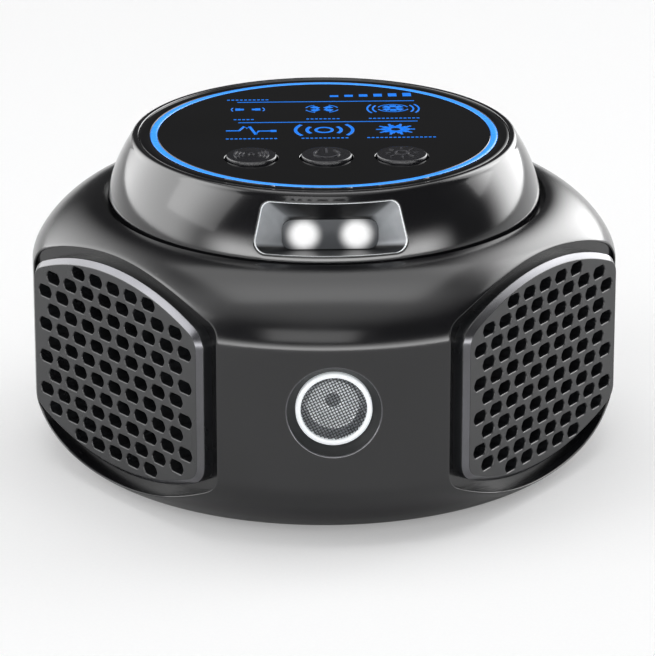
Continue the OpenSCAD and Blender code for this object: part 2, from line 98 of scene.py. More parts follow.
# %% [markdown]
# A piece is a list of points in millimetres and a list of faces. One helper turns that to a mesh: it
# merges doubles, points the faces outwards, smooths them and keeps corners sharper than a given
# angle crisp, as a moulding's edges are. Another shows a mesh as an object at the origin, and says
# which finishes it wears, which body it rides on and which CAD nodes it stands for.

# %% Mesh helpers
MERGE = 2e-6  # metres


def wear(piece, *finishes):
    piece.data.materials.clear()
    for finish in finishes:
        piece.data.materials.append(finish)


def show(name, mesh, finishes, slot, stands_for=(), body="root"):
    piece = bpy.data.objects.new(name, mesh)
    bpy.context.scene.collection.objects.link(piece)
    wear(piece, *finishes)
    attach(piece, body)
    if stands_for:
        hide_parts(*stands_for)
    print(name, len(mesh.vertices), "vertices", len(mesh.polygons), "faces")
    return piece


def finish_mesh(mesh, sharp_angle):
    mesh.shade_smooth()
    mesh.set_sharp_from_angle(angle=math.radians(sharp_angle))


def make_piece(name, points, faces, finishes, sharp_angle, slot, **place):
    mesh = bpy.data.meshes.new(name)
    mesh.from_pydata([Vector(p) * MM for p in points], [], faces)
    shape = bmesh.new()
    shape.from_mesh(mesh)
    bmesh.ops.remove_doubles(shape, verts=shape.verts, dist=MERGE)
    loose = [v for v in shape.verts if not v.link_faces]
    bmesh.ops.delete(shape, geom=loose, context="VERTS")
    bmesh.ops.recalc_face_normals(shape, faces=shape.faces)
    shape.to_mesh(mesh)
    shape.free()
    finish_mesh(mesh, sharp_angle)
    return show(name, mesh, finishes, slot, **place)


def join_rings(rings):
    """Faces between closed rows of points that all have the same count."""
    faces = []
    count = len(rings[0])
    for i in range(len(rings) - 1):
        low, high = i * count, (i + 1) * count
        for k in range(count):
            n = (k + 1) % count
            faces.append((low + k, low + n, high + n, high + k))
    return faces


def add_part(points, faces, more_points, more_faces):
    first = len(points)
    points.extend(more_points)
    faces.extend(tuple(i + first for i in f) for f in more_faces)


def add_rings(points, faces, rings):
    add_part(points, faces, [p for ring in rings for p in ring], join_rings(rings))


def lathe(section, steps=128, centre=(0, 0)):
    """Turns a section of (radius, height) about Z. A radius of 0 closes it with a pole."""
    points, faces, rows = [], [], []
    for r, z in section:
        count = 1 if r < 1e-6 else steps
        rows.append((len(points), count))
        for k in range(count):
            a = 2 * math.pi * k / steps
            points.append((centre[0] + r * math.cos(a), centre[1] + r * math.sin(a), z))
    for (a, na), (b, nb) in zip(rows, rows[1:]):
        for k in range(steps):
            n = (k + 1) % steps
            if na == 1 and nb > 1:
                faces.append((a, b + n, b + k))
            elif nb == 1 and na > 1:
                faces.append((a + k, a + n, b))
            elif na > 1:
                faces.append((a + k, a + n, b + n, b + k))
    return points, faces


def arc(cx, cy, r, start, end, steps):
    """Points of an arc, angles in degrees."""
    return [(cx + r * math.cos(math.radians(start + (end - start) * i / steps)),
             cy + r * math.sin(math.radians(start + (end - start) * i / steps)))
            for i in range(steps + 1)]


def rounded_polygon(corners, radii, arc_steps=6, edge_steps=1):
    """Outline with rounded corners, counterclockwise, as (x, y, normal x, normal y)."""
    outline = []
    count = len(corners)
    for i in range(count):
        p = Vector(corners[i])
        to_prev = (Vector(corners[i - 1]) - p).normalized()
        to_next = (Vector(corners[(i + 1) % count]) - p).normalized()
        half = to_prev.angle(to_next) / 2
        r = radii[i]
        centre = p + (to_prev + to_next).normalized() * (r / math.sin(half))
        start = Vector((-to_prev.y, to_prev.x))
        sweep = math.pi - 2 * half
        for k in range(arc_steps + 1):
            t = sweep * k / arc_steps
            n = Vector((start.x * math.cos(t) - start.y * math.sin(t),
                        start.x * math.sin(t) + start.y * math.cos(t)))
            outline.append((*(centre + n * r), *n))
        after = Vector(corners[(i + 1) % count])
        half_after = (p - after).angle(Vector(corners[(i + 2) % count]) - after) / 2
        here = p + to_next * (r / math.tan(half))
        there = after - to_next * (radii[(i + 1) % count] / math.tan(half_after))
        normal = Vector((to_next.y, -to_next.x))
        for k in range(1, edge_steps):
            outline.append((*here.lerp(there, k / edge_steps), *normal))
    return outline


def grown(outline, grow):
    """An outline's points, moved outwards along its normals."""
    return [(x + nx * grow, y + ny * grow) for x, y, nx, ny in outline]


def circle_outline(r, steps):
    ways = [(math.cos(2 * math.pi * k / steps), math.sin(2 * math.pi * k / steps)) for k in range(steps)]
    return [(r * nx, r * ny, nx, ny) for nx, ny in ways]


def inside(point, loop):
    """True if a 2-D point lies inside a closed loop."""
    x, y = point
    hit = False
    for (x1, y1), (x2, y2) in zip(loop, loop[1:] + loop[:1]):
        if (y1 > y) != (y2 > y) and x < (x2 - x1) * (y - y1) / (y2 - y1) + x1:
            hit = not hit
    return hit


def box_of(loop, gap=0.0):
    """The box round a loop, a gap larger: least and greatest x, then y."""
    xs, ys = [p[0] for p in loop], [p[1] for p in loop]
    return min(xs) - gap, max(xs) + gap, min(ys) - gap, max(ys) + gap


# %% Flat regions
CDT_REACH = 1e-5
SLIVER = 2e-5  # twice the area of a triangle too thin to keep, in square millimetres


def fill_flat(border, holes, extra=()):
    """Triangles of a flat region between a border and its holes. Slivers along a straight border are
    left out. Returns points and faces."""
    points, edges = [], []
    for loop in [border] + list(holes):
        first = len(points)
        points += [Vector(p) for p in loop]
        edges += [(first + k, first + (k + 1) % len(loop)) for k in range(len(loop))]
    points += [Vector(p) for p in extra]
    made = delaunay_2d_cdt(points, edges, [], 0, CDT_REACH)
    boxes = [(box_of(hole), hole) for hole in holes]
    kept = []
    for f in made[2]:
        p, q, r = (made[0][i] for i in f)
        if abs((q - p).cross(r - p)) < SLIVER:
            continue
        x, y = (p + q + r) / 3
        if not inside((x, y), border):
            continue
        if any(a < x < b and c < y < d and inside((x, y), hole) for (a, b, c, d), hole in boxes):
            continue
        kept.append(tuple(f))
    return [tuple(p) for p in made[0]], kept


# %% [markdown]
# The housing and the crown are surfaces of revolution with openings cut in them. A boolean cut
# would leave ragged shading round each opening. Instead the skin is laid out flat, as angle
# against length along the section, and triangulated with the openings' outlines as fixed edges.
# Each point then goes back to its place on the curved surface, so both the curve and the opening
# stay exact, and a rounded lip can follow the opening all the way round.


# %% A turned skin with openings
class TurnedSkin:
    def __init__(self, section, reference_r):
        self.section = section
        self.reference_r = reference_r
        self.length = [0.0]
        for (r1, z1), (r2, z2) in zip(section, section[1:]):
            self.length.append(self.length[-1] + math.hypot(r2 - r1, z2 - z1))

    def at_length(self, v):
        """Radius and height at a length along the section."""
        v = min(max(v, 0.0), self.length[-1])
        low = min(bisect_right(self.length, v) - 1, len(self.length) - 2)
        t = (v - self.length[low]) / (self.length[low + 1] - self.length[low])
        (r1, z1), (r2, z2) = self.section[low], self.section[low + 1]
        return r1 + (r2 - r1) * t, z1 + (z2 - z1) * t

    def length_at(self, z):
        """Length along the section at a height; the section falls steadily."""
        for i, ((r1, z1), (r2, z2)) in enumerate(zip(self.section, self.section[1:])):
            if z2 <= z <= z1 and z1 > z2:
                return self.length[i] + (self.length[i + 1] - self.length[i]) * (z1 - z) / (z1 - z2)
        raise ValueError(f"no skin at height {z}")

    def flat_point(self, side, z, turn):
        """Flat place of the skin's point at a sideways distance and a height, seen from turn."""
        v = self.length_at(z)
        r = self.at_length(v)[0]
        return (math.radians(turn) + math.asin(side / r)) * self.reference_r, v

    def place(self, u, v):
        """Angle 0 faces the front, -Y, and grows towards +X."""
        r, z = self.at_length(v)
        a = u / self.reference_r
        return (r * math.sin(a), -r * math.cos(a), z)

    def depth(self, side, z):
        """Distance of the skin from the centre line, along the direction that an opening faces."""
        r = self.at_length(self.length_at(z))[0]
        return math.sqrt(r * r - side * side)

    def build(self, openings, columns, rows, seam_turn):
        """openings: (turn, middle height, outline). Returns points and faces without them."""
        start = math.radians(seam_turn) * self.reference_r
        width = 2 * math.pi * self.reference_r
        holes = []
        for turn, mid_z, outline in openings:
            places = [self.flat_point(x, mid_z + y, turn) for x, y in outline]
            holes.append([((u - start) % width + start, v) for u, v in places])
        us = [start + width * i / columns for i in range(columns + 1)]
        vs = [self.length[-1] * j / rows for j in range(rows + 1)]
        border = [(u, vs[0]) for u in us[:-1]] + [(us[-1], v) for v in vs[:-1]]
        border += [(u, vs[-1]) for u in reversed(us[1:])] + [(us[0], v) for v in reversed(vs[1:])]
        gap = 0.45 * width / columns
        boxes = [(box_of(hole, gap), hole) for hole in holes]
        extra = []
        for u in us[1:-1]:
            for v in vs[1:-1]:
                near = [hole for (a, b, c, d), hole in boxes if a < u < b and c < v < d]
                if any(inside((u, v), hole) for hole in near):
                    continue
                if any((u - p[0]) ** 2 + (v - p[1]) ** 2 < gap * gap for hole in near for p in hole):
                    continue
                extra.append((u, v))
        flat, faces = fill_flat(border, holes, extra)
        return [self.place(u, v) for u, v in flat], faces


def turned_point(turn, side, depth, z):
    """A point at a sideways distance and a depth in front of the centre line, seen from turn."""
    a = math.radians(turn)
    return (depth * math.sin(a) + side * math.cos(a), -depth * math.cos(a) + side * math.sin(a), z)


def lip_rings(skin, turn, mid_z, outline, lip, wall_depth=None, steps=5):
    """Rounded lip: from the skin, over the edge, down to wall_depth on the opening's wall."""
    def on_skin(x, z, sink=0.0):
        return Vector(turned_point(turn, x, skin.depth(x, z) - sink, z))

    rings = []
    for i in range(steps + 1):
        t = i / steps
        ring = []
        for x, y, nx, ny in outline:
            z = mid_z + y
            start, corner, end = on_skin(x + nx * lip, z + ny * lip), on_skin(x, z), on_skin(x, z, lip)
            ring.append(tuple(start * (1 - t) ** 2 + corner * 2 * t * (1 - t) + end * t * t))
        rings.append(ring)
    if wall_depth is not None:
        rings.append([turned_point(turn, x, wall_depth, mid_z + y) for x, y, nx, ny in outline])
    return rings


# %% [markdown]
# Finishes come before the pieces, so that each piece can be given its own as it is made. Colours
# are written as the eye sees them and turned to linear light by one function. One small function
# adds a node with its settings and links. Most finishes share two patterns of a real size: soft
# clouds, which vary colour and gloss a little, and a fine grain in relief.


# %% Material helpers
def linear(hex_colour):
    def channel(c):
        return c / 12.92 if c <= 0.04045 else ((c + 0.055) / 1.055) ** 2.4
    return tuple(channel(int(hex_colour[i:i + 2], 16) / 255) for i in (1, 3, 5)) + (1.0,)


def add(tree, kind, inputs=None, **settings):
    made = tree.nodes.new(kind)
    for name, value in settings.items():
        setattr(made, name, value)
    for key, value in (inputs or {}).items():
        if isinstance(value, bpy.types.NodeSocket):
            tree.links.new(value, made.inputs[key])
        else:
            made.inputs[key].default_value = value
    return made


def new_material(name):
    material = bpy.data.materials.new(name)
    material.use_nodes = True
    tree = material.node_tree
    tree.nodes.clear()
    return material, tree

def cloud_share(tree, size_mm, detail):
    """Soft clouds on the object's own coordinates, as a share from 0 to 1."""
    place = add(tree, "ShaderNodeTexCoord").outputs["Object"]
    clouds = add(tree, "ShaderNodeTexNoise", {"Vector": place, "Scale": 1 / (size_mm * MM), "Detail": detail})
    return add(tree, "ShaderNodeMapRange", {"Value": clouds.outputs["Fac"], "From Min": 0.3,
                                            "From Max": 0.7}).outputs["Result"]


def grain_normal(tree, size_mm, depth_mm, detail):
    """A fine grain in relief."""
    place = add(tree, "ShaderNodeTexCoord").outputs["Object"]
    grain = add(tree, "ShaderNodeTexNoise", {"Vector": place, "Scale": 1 / (size_mm * MM), "Detail": detail})
    return add(tree, "ShaderNodeBump", {"Height": grain.outputs["Fac"], "Strength": 1.0,
                                        "Distance": depth_mm * MM}).outputs["Normal"]


def moulded(name, dark, light, rough, grain_mm=0.0, grain_depth_mm=0.0, metallic=0.0, ior=1.5,
            cloud_mm=18.0, coat=0.0, emission=None, glow=0.0):
    """A moulded or polished surface: slow colour and gloss variation and a fine grain in relief."""
    material, tree = new_material(name)
    share = cloud_share(tree, cloud_mm, 4.0)
    colour = add(tree, "ShaderNodeMix", {0: share, 6: linear(dark), 7: linear(light)}, data_type="RGBA")
    gloss = add(tree, "ShaderNodeMix", {0: share, 2: rough[0], 3: rough[1]}, data_type="FLOAT")
    shader = add(tree, "ShaderNodeBsdfPrincipled", {
        "Base Color": colour.outputs[2], "Roughness": gloss.outputs[0], "Metallic": metallic,
        "IOR": ior, "Coat Weight": coat, "Coat Roughness": 0.06})
    if grain_mm:
        tree.links.new(grain_normal(tree, grain_mm, grain_depth_mm, 2.0), shader.inputs["Normal"])
    if emission:
        shader.inputs["Emission Color"].default_value = linear(emission)
        shader.inputs["Emission Strength"].default_value = glow
    add(tree, "ShaderNodeOutputMaterial", {"Surface": shader.outputs["BSDF"]})
    return material


# %% [markdown]
# **Housing finishes.** The housing is ABS from a polished and lightly blasted tool: near black,
# with wide soft reflections. ABS has an index of about 1.54. The crown is the same plastic with a
# little more gloss, and the slotted panels are slightly more matt.

# %% Finishes of the mouldings
ABS_SATIN = moulded("abs_satin_black", "#101012", "#151517", (0.17, 0.21), 0.4, 0.0008, ior=1.54)
ABS_GLOSS = moulded("abs_gloss_black", "#111113", "#161618", (0.13, 0.17), 0.4, 0.0005, ior=1.54,
                    coat=0.3)
ABS_PANEL = moulded("abs_panel_black", "#161719", "#1c1d1f", (0.26, 0.32), 0.3, 0.0012, ior=1.54)
# A bright metallic grey for edges: a painted highlight on the panels' bevels and the transducer seat's lip,
# which are the same black plastic.
EDGE_PAINTED_HIGHLIGHT = moulded("polished_moulded_edge", "#5a5a5c", "#66666a", (0.20, 0.25), 0.4, 0.0006,
                        metallic=0.75)
ABS_BASE = moulded("abs_textured_black", "#17171a", "#1d1d20", (0.50, 0.60), 0.5, 0.03, ior=1.54)
# A matt near-black for inside the transducer seat: painted shade in the recess.
RECESS_PAINTED_SHADE = moulded("abs_matt_black", "#0b0b0c", "#0f0f10", (0.45, 0.55), 0.4, 0.004, ior=1.54)
ABS_BUTTON = moulded("abs_button_black", "#1d1d20", "#242428", (0.22, 0.28), 0.3, 0.0006, ior=1.54)
# A lighter grey for the tops of the buttons' raised symbols: a painted highlight along the ridges.
SYMBOL_PAINTED_HIGHLIGHT = moulded("abs_symbol_grey", "#3d3d42", "#47474c", (0.28, 0.34), 0.3, 0.0006, ior=1.54)
HORN_ABS = moulded("horn_grey_abs", "#77797d", "#85878b", (0.40, 0.50), 0.4, 0.006)
CARRIER_ABS = moulded("carrier_light_abs", "#b9bcc2", "#c6c9ce", (0.40, 0.50), 0.4, 0.006)
print("moulded finishes ready")

# %% [markdown]
# **Acrylic.** The display disc is polished black acrylic, the smoothest surface on the object. The
# ring round it is a frosted light guide, lit blue from behind, and so are the marks on the disc.

# %% Finishes of the display
ACRYLIC_BLACK = moulded("acrylic_polished_black", "#0c0c0d", "#101012", (0.05, 0.08), cloud_mm=30,
                        ior=1.49)
GUIDE_BLUE = moulded("acrylic_light_guide", "#2f86e6", "#3a90ee", (0.25, 0.3), ior=1.49,
                     emission="#2f8cf0", glow=0.62)
LIT_BLUE = moulded("lit_symbol_blue", "#0c4fa8", "#1058b4", (0.3, 0.35), ior=1.49,
                   emission="#1478e0", glow=0.8)
print("display finishes ready")

# %% [markdown]
# ** Metals, rubber and the parts inside.** A lacquered ring and dark wire on the transducer, drawn
# aluminium, zinc plated steel, moulded rubber, glass-epoxy boards, nylon and epoxy packages. Each
# has its own grain at its own scale. The pale cone and its ring also glow a little: painted light
# that stands in for how bright they look.

# %% Finishes of the small parts
# The transducer's lacquered white ring: white is its own colour, and its glow is painted light. The same
# finish on the lamp's mouth is a painted highlight.
WHITE_PAINTED_GLOW = moulded("lacquered_white_ring", "#f4f6f8", "#fdfdfe", (0.26, 0.34), 0.25, 0.0008,
                 emission="#f2fbff", glow=0.3)
MESH_STEEL = moulded("blackened_steel_wire", "#0e0e0f", "#161617", (0.40, 0.50))
# The cone's pale colour is its own, and its glow is painted light that stands in for the brightness seen
# behind the mesh.
CONE_PAINTED_GLOW = moulded("anodised_cone", "#eceef0", "#f6f7f8", (0.25, 0.35), metallic=0.1,
                     emission="#f4faff", glow=0.22)
ALU = moulded("drawn_aluminium", "#b9bbbe", "#c6c8cb", (0.28, 0.36), 0.3, 0.002, metallic=1.0)
ZINC = moulded("zinc_plated_steel", "#9fa2a6", "#b2b5b9", (0.28, 0.40), 0.4, 0.003, metallic=1.0)
STEEL_CAN = moulded("pressed_steel", "#7c7f84", "#8b8e93", (0.30, 0.42), 0.4, 0.003, metallic=1.0)
BRASS = moulded("plated_contact_brass", "#c9b169", "#d6bf79", (0.20, 0.30), metallic=1.0)
RUBBER = moulded("moulded_rubber", "#121213", "#18181a", (0.62, 0.75), 0.35, 0.02)
BOARD = moulded("solder_mask_green", "#0f4a2a", "#155a34", (0.30, 0.42), 0.8, 0.006)
EPOXY = moulded("epoxy_package", "#151517", "#1d1d20", (0.45, 0.60), 0.2, 0.006)
NYLON = moulded("moulded_nylon", "#d6d1bf", "#e2decf", (0.40, 0.50), 0.3, 0.004)
LED_PACKAGE = moulded("led_package", "#ddd8c4", "#ebe6d4", (0.25, 0.35))
LED_LIT = moulded("led_package_lit", "#f4efdc", "#fffbea", (0.25, 0.35), emission="#fffdf4", glow=0.9)
LEAD_RED = moulded("pvc_lead_red", "#8e1c1c", "#a32424", (0.35, 0.45), 0.3, 0.004)
FLAT_CABLE = moulded("flat_cable_grey", "#b4b7bc", "#c6c9ce", (0.35, 0.45), 0.6, 0.01)
WINDING = moulded("taped_winding", "#b07a26", "#c88f35", (0.35, 0.50), 0.5, 0.02)
SLEEVE_BLUE = moulded("pvc_capacitor_sleeve", "#1b2a52", "#22346a", (0.22, 0.30))
print("small-part finishes ready")

# %% [markdown]
# **Housing skin.** The real housing is one injection moulding: an upright wall, a rounded shoulder
# and a tucked-in bottom edge, with four pockets for the horn panels, a round seat at the front and
# a socket hole at the back. Its section is a pair of flattened quarter curves.


# %% The housing
def power_curve(r0, z0, r1, z1, power, steps):
    """From (r0, z0) to (r1, z1); a power above 1 flattens the quarter curve."""
    curve = []
    for i in range(steps + 1):
        a = math.pi / 2 * i / steps
        curve.append((r0 + (r1 - r0) * math.sin(a) ** power, z1 + (z0 - z1) * math.cos(a) ** power))
    return curve


PANEL_ARC_R = 78.0   # radius of the top and bottom arcs
PANEL_RISE = 25.1    # half height at the middle
PANEL_HALF = 33.3    # half width
CORNER_TURN = 0.5    # a sharper turn between two points, in radians, is a corner


def panel_outline(grow, corner_r=3.0, steps=40):
    """The panel's face: shallow arcs at top and bottom, square ends, rounded corners."""
    arc_r, half, middle = PANEL_ARC_R + grow, PANEL_HALF + grow, PANEL_ARC_R - PANEL_RISE
    corner_y = math.sqrt(arc_r ** 2 - half ** 2) - middle
    turn = math.asin(half / arc_r)
    outline = []
    for side in (1, -1):
        outline += [(side * half, side * corner_y * (2 * k / steps - 1), side, 0) for k in range(1, steps)]
        for k in range(steps + 1):
            a = turn - 2 * turn * k / steps
            x, y = math.sin(a), math.cos(a)
            outline.append((side * arc_r * x, side * (arc_r * y - middle), side * x, side * y))
    return soften(outline, corner_r)


def soften(outline, reach, steps=8):
    """Rounds an outline's sharp corners: points within reach give way to a quadratic curve."""
    count = len(outline)
    rounded, dropped = {}, set()
    for c in range(count):
        if Vector(outline[c][2:]).angle(Vector(outline[c - 1][2:])) <= CORNER_TURN:
            continue
        on_arc = c if abs(outline[c][2]) < abs(outline[c - 1][2]) else c - 1
        corner = Vector(outline[on_arc][:2])
        before, after = c - 1, c
        while (Vector(outline[before][:2]) - corner).length < reach:
            dropped.add(before % count)
            before -= 1
        while (Vector(outline[after % count][:2]) - corner).length < reach:
            dropped.add(after % count)
            after += 1
        start, end = Vector(outline[before % count]), Vector(outline[after % count])
        rounded[c] = []
        for k in range(1, steps):
            t = k / steps
            p = start.xy * (1 - t) ** 2 + corner * 2 * t * (1 - t) + end.xy * t * t
            rounded[c].append((*p, *start.zw.lerp(end.zw, t).normalized()))
    result = []
    for i in range(count):
        result += rounded.get(i, [] if i in dropped else [outline[i]])
    return result


SHOULDER_POWER, BOTTOM_POWER = 1.3, 1.25
POCKET_EDGE = 3.95     # how far a pocket reaches past its panel's face
POCKET_WINDOW = -1.5   # its floor is open behind the slots
POCKET_FLOOR = 62.4    # and lies this far from the centre line
LIP = 0.8
EAR_SEAT_R, EAR_LIP = 11.3, 0.35
EAR_STEPS = ((9.6, 71.2), (9.35, 70.0))   # radius and depth of the stepped seat
JACK_Z, JACK_R, JACK_LIP, JACK_DEPTH = 20.0, 4.2, 0.3, 66.0
DECK_HOLE_R = 44.0
FOOT_WALL, FOOT_TOP = 1.7, 3.2
RIM_STEPS = 260
shoulder = power_curve(SHOULDER_R, GROOVE_Z, WALL_R, WALL_TOP_Z, SHOULDER_POWER, 40)
bottom = power_curve(BOTTOM_R, BASE_Z, WALL_R, WALL_LOW_Z, BOTTOM_POWER, 30)
wall = [(WALL_R, WALL_TOP_Z - (WALL_TOP_Z - WALL_LOW_Z) * k / 24) for k in range(1, 24)]
housing_skin = TurnedSkin(shoulder + wall + list(reversed(bottom)), WALL_R)
pocket = panel_outline(POCKET_EDGE)
ear_seat = circle_outline(EAR_SEAT_R, 96)
jack_seat = circle_outline(JACK_R, 48)

# %% The housing's openings
openings = [(turn, PANEL_Z, grown(pocket, LIP)) for turn in PANEL_TURNS.values()]
openings.append((0, EAR_Z, grown(ear_seat, EAR_LIP)))
openings.append((180, JACK_Z, grown(jack_seat, JACK_LIP)))
points, faces = housing_skin.build(openings, RIM_STEPS, 78, seam_turn=90)
flat, flat_faces = fill_flat(grown(pocket, 0), [grown(panel_outline(POCKET_WINDOW), 0)])
for turn in PANEL_TURNS.values():
    add_rings(points, faces, lip_rings(housing_skin, turn, PANEL_Z, pocket, LIP, POCKET_FLOOR))
    add_part(points, faces, [turned_point(turn, x, POCKET_FLOOR, PANEL_Z + y) for x, y in flat],
             flat_faces)
ear_rings = lip_rings(housing_skin, 0, EAR_Z, ear_seat, EAR_LIP)
for r, depth in EAR_STEPS:
    ear_rings.append([turned_point(0, x * r / EAR_SEAT_R, depth, EAR_Z + y * r / EAR_SEAT_R)
                      for x, y, nx, ny in ear_seat])
add_rings(points, faces, ear_rings)
add_rings(points, faces, lip_rings(housing_skin, 180, JACK_Z, jack_seat, JACK_LIP, JACK_DEPTH))
add_part(points, faces, *lathe([(SHOULDER_R, GROOVE_Z), (SHOULDER_R - 0.1, GROOVE_Z - 0.4),
                                (SHOULDER_R - 0.1, CROWN_FOOT_Z), (DECK_HOLE_R, CROWN_FOOT_Z),
                                (DECK_HOLE_R, CROWN_FOOT_Z - 2.2)], RIM_STEPS))
add_part(points, faces, *lathe([(BOTTOM_R, BASE_Z), (BOTTOM_R - FOOT_WALL, BASE_Z),
                                (BOTTOM_R - FOOT_WALL, FOOT_TOP)], RIM_STEPS))
housing = make_piece("housing_skin", points, faces, (ABS_SATIN, RECESS_PAINTED_SHADE, EDGE_PAINTED_HIGHLIGHT), 50,
                     "housing_black", stands_for=("body_shell",))
# Inside the transducer seat the faces get painted shade, a matt near-black, and the seat's lip gets a painted
# highlight, the bright edge finish.
seat_low, seat_high = EAR_SEAT_R - 0.05, EAR_SEAT_R + EAR_LIP + 0.03
for face in housing.data.polygons:
    away = math.hypot(face.center.x / MM, face.center.z / MM - EAR_Z)
    if face.center.y < 0 and away < seat_high:
        face.material_index = 1 if away < seat_low else 2

# %% [markdown]
# **Crown.** A second moulding leans in over the housing and carries the flat rim round the display.
# It is laid out the same way, with one opening for the lamp at the front.


# %% The crown
RIM_FLAT_R = 47.6
RIM_INNER_R = 46.6
CROWN_TOP_R = 48.3
CROWN_EDGE = 0.7
CROWN_BULGE = 3.84     # how far the leaning side swells out
CROWN_STEPS = 28
DISPLAY_SEAT_Z = RIM_Z - 4.0
DECK_LOW_Z = RIM_Z - 6.2
crown_section = [(RIM_FLAT_R, RIM_Z), (48.0, RIM_Z - 0.08), (48.2, RIM_Z - 0.3)]
for k in range(CROWN_STEPS + 1):
    t = 1 - k / CROWN_STEPS
    crown_section.append((CROWN_R - (CROWN_R - CROWN_TOP_R) * t + CROWN_BULGE * t * (1 - t),
                          GROOVE_Z + (RIM_Z - GROOVE_Z - CROWN_EDGE) * t))
crown_section.append((CROWN_R, CROWN_FOOT_Z))
crown_skin = TurnedSkin(crown_section, CROWN_R)

LAMP_TOP_Z = RIM_Z - 2.4
LAMP_LOW_Z = GROOVE_Z + 1.5
LAMP_MID_Z = (LAMP_TOP_Z + LAMP_LOW_Z) / 2
LAMP_LIP = 0.4
MOUTH_TOP_HALF, MOUTH_LOW_HALF = 16.4, 19.2
mouth_top, mouth_low = LAMP_TOP_Z - LAMP_MID_Z, LAMP_LOW_Z - LAMP_MID_Z
mouth = rounded_polygon([(-MOUTH_LOW_HALF, mouth_low), (MOUTH_LOW_HALF, mouth_low),
                         (MOUTH_TOP_HALF, mouth_top), (-MOUTH_TOP_HALF, mouth_top)],
                        [2.6, 2.6, 2.4, 2.4], 8, 14)
points, faces = crown_skin.build([(0, LAMP_MID_Z, grown(mouth, LAMP_LIP))], 240, 26, seam_turn=180)
add_rings(points, faces, lip_rings(crown_skin, 0, LAMP_MID_Z, mouth, LAMP_LIP))
add_part(points, faces, *lathe([(RIM_FLAT_R, RIM_Z), (RIM_INNER_R + 0.15, RIM_Z), (RIM_INNER_R, RIM_Z - 0.15),
                                (RIM_INNER_R, DISPLAY_SEAT_Z), (DECK_HOLE_R, DISPLAY_SEAT_Z),
                                (DECK_HOLE_R, DECK_LOW_Z)], 240))
make_piece("crown_skin", points, faces, (ABS_GLOSS,), 50, "crown_black", stands_for=("crown",))

# %% [markdown]
# ** Lamp.** A bright moulded funnel runs from the crown's opening back to a small rounded window with
# two white LEDs behind it. The funnel is a ruled surface between the two outlines. Its side walls
# are bright, and its roof and sill get a painted shade, so the finish mixes the two by each face's
# slope. A white band round the mouth is a painted highlight.

# %% The lamp's funnel
WINDOW_Y = 44.5
WINDOW_LOW, WINDOW_HIGH, WINDOW_HALF = GROOVE_Z - 0.1, GROOVE_Z + 7.8, 11.9
window_mid = (WINDOW_LOW + WINDOW_HIGH) / 2
window_rise = (WINDOW_HIGH - WINDOW_LOW) / 2
lamp_window = rounded_polygon([(-WINDOW_HALF, -window_rise), (WINDOW_HALF, -window_rise),
                               (WINDOW_HALF, window_rise), (-WINDOW_HALF, window_rise)],
                              [2.6] * 4, 8, 14)


def reflector_painted_shade_material(name, side, side_light, slope):
    material, tree = new_material(name)
    walls = add(tree, "ShaderNodeMix", {0: cloud_share(tree, 5.0, 3.0), 6: linear(side),
                                        7: linear(side_light)}, data_type="RGBA").outputs[2]
    normal = add(tree, "ShaderNodeNewGeometry").outputs["Normal"]
    upward = add(tree, "ShaderNodeSeparateXYZ", {0: normal}).outputs["Z"]
    steep = add(tree, "ShaderNodeMath", {0: upward}, operation="ABSOLUTE").outputs[0]
    share = add(tree, "ShaderNodeMapRange", {"Value": steep, "From Min": 0.3,
                                             "From Max": 0.6}).outputs["Result"]
    # The roof and sill, whose faces point up or down, get the dark colour: painted shade.
    painted_shade_mix = add(tree, "ShaderNodeMix", {0: share, 6: walls, 7: linear(slope)}, data_type="RGBA")
    shader = add(tree, "ShaderNodeBsdfPrincipled", {
        "Base Color": painted_shade_mix.outputs[2], "Roughness": 0.34, "Metallic": 0.1,
        "Normal": grain_normal(tree, 0.4, 0.003, 3.0)})
    add(tree, "ShaderNodeOutputMaterial", {"Surface": shader.outputs["BSDF"]})
    return material


def lamp_ring(t):
    """The funnel's outline at a share of the way from the mouth to the window."""
    ring = []
    for (x, y, *out), (wx, wy, *window_out) in zip(mouth, lamp_window):
        start = Vector((x, crown_skin.depth(x, LAMP_MID_Z + y) - LAMP_LIP, LAMP_MID_Z + y))
        p = start.lerp(Vector((wx, WINDOW_Y, window_mid + wy)), t)
        ring.append((p.x, -p.y, p.z))
    return ring


# The last colour is the painted shade on the roof and sill.
REFLECTOR_PAINTED_SHADE = reflector_painted_shade_material("moulded_reflector", "#a9adb1", "#b9bcc0", "#1b1b1d")
points, faces = [], []
add_rings(points, faces, [lamp_ring(t) for t in (0, 0.05, 0.2, 0.35, 0.5, 0.65, 0.8, 1)])
back = [(x * 0.985, window_mid + y * 0.97) for x, y, nx, ny in lamp_window]
add_rings(points, faces, [lamp_ring(1), [(x, -WINDOW_Y + 0.2, z) for x, z in back],
                          [(x, -WINDOW_Y + 1.1, z) for x, z in back]])
reflector = make_piece("lamp_funnel", points, faces, (REFLECTOR_PAINTED_SHADE, WHITE_PAINTED_GLOW), 50, "reflector_grey",
                       stands_for=("lamp_reflector",))
# The first band of faces at the mouth gets the white glowing finish: a painted highlight along the lip.
for face in reflector.data.polygons[:len(mouth)]:
    face.material_index = 1

# %% [markdown]
# The lamp's lens is a clear moulded window. Each white LED behind it lights a round patch that fades
# outwards, so the lens has a soft glow that is brightest in front of the LEDs. The glow is worked
# out from each point's own distance to the two LEDs, in the object's frame.

# %% Lamp lens and LEDs
LED_X, LED_Z = 6.4, GROOVE_Z + 3.8
GLOW_FROM, GLOW_TO = 1.4, 5.4
LENS_GAP = 0.2
LENS_FRONT, LENS_BACK = WINDOW_Y - 0.15, WINDOW_Y - 1.1


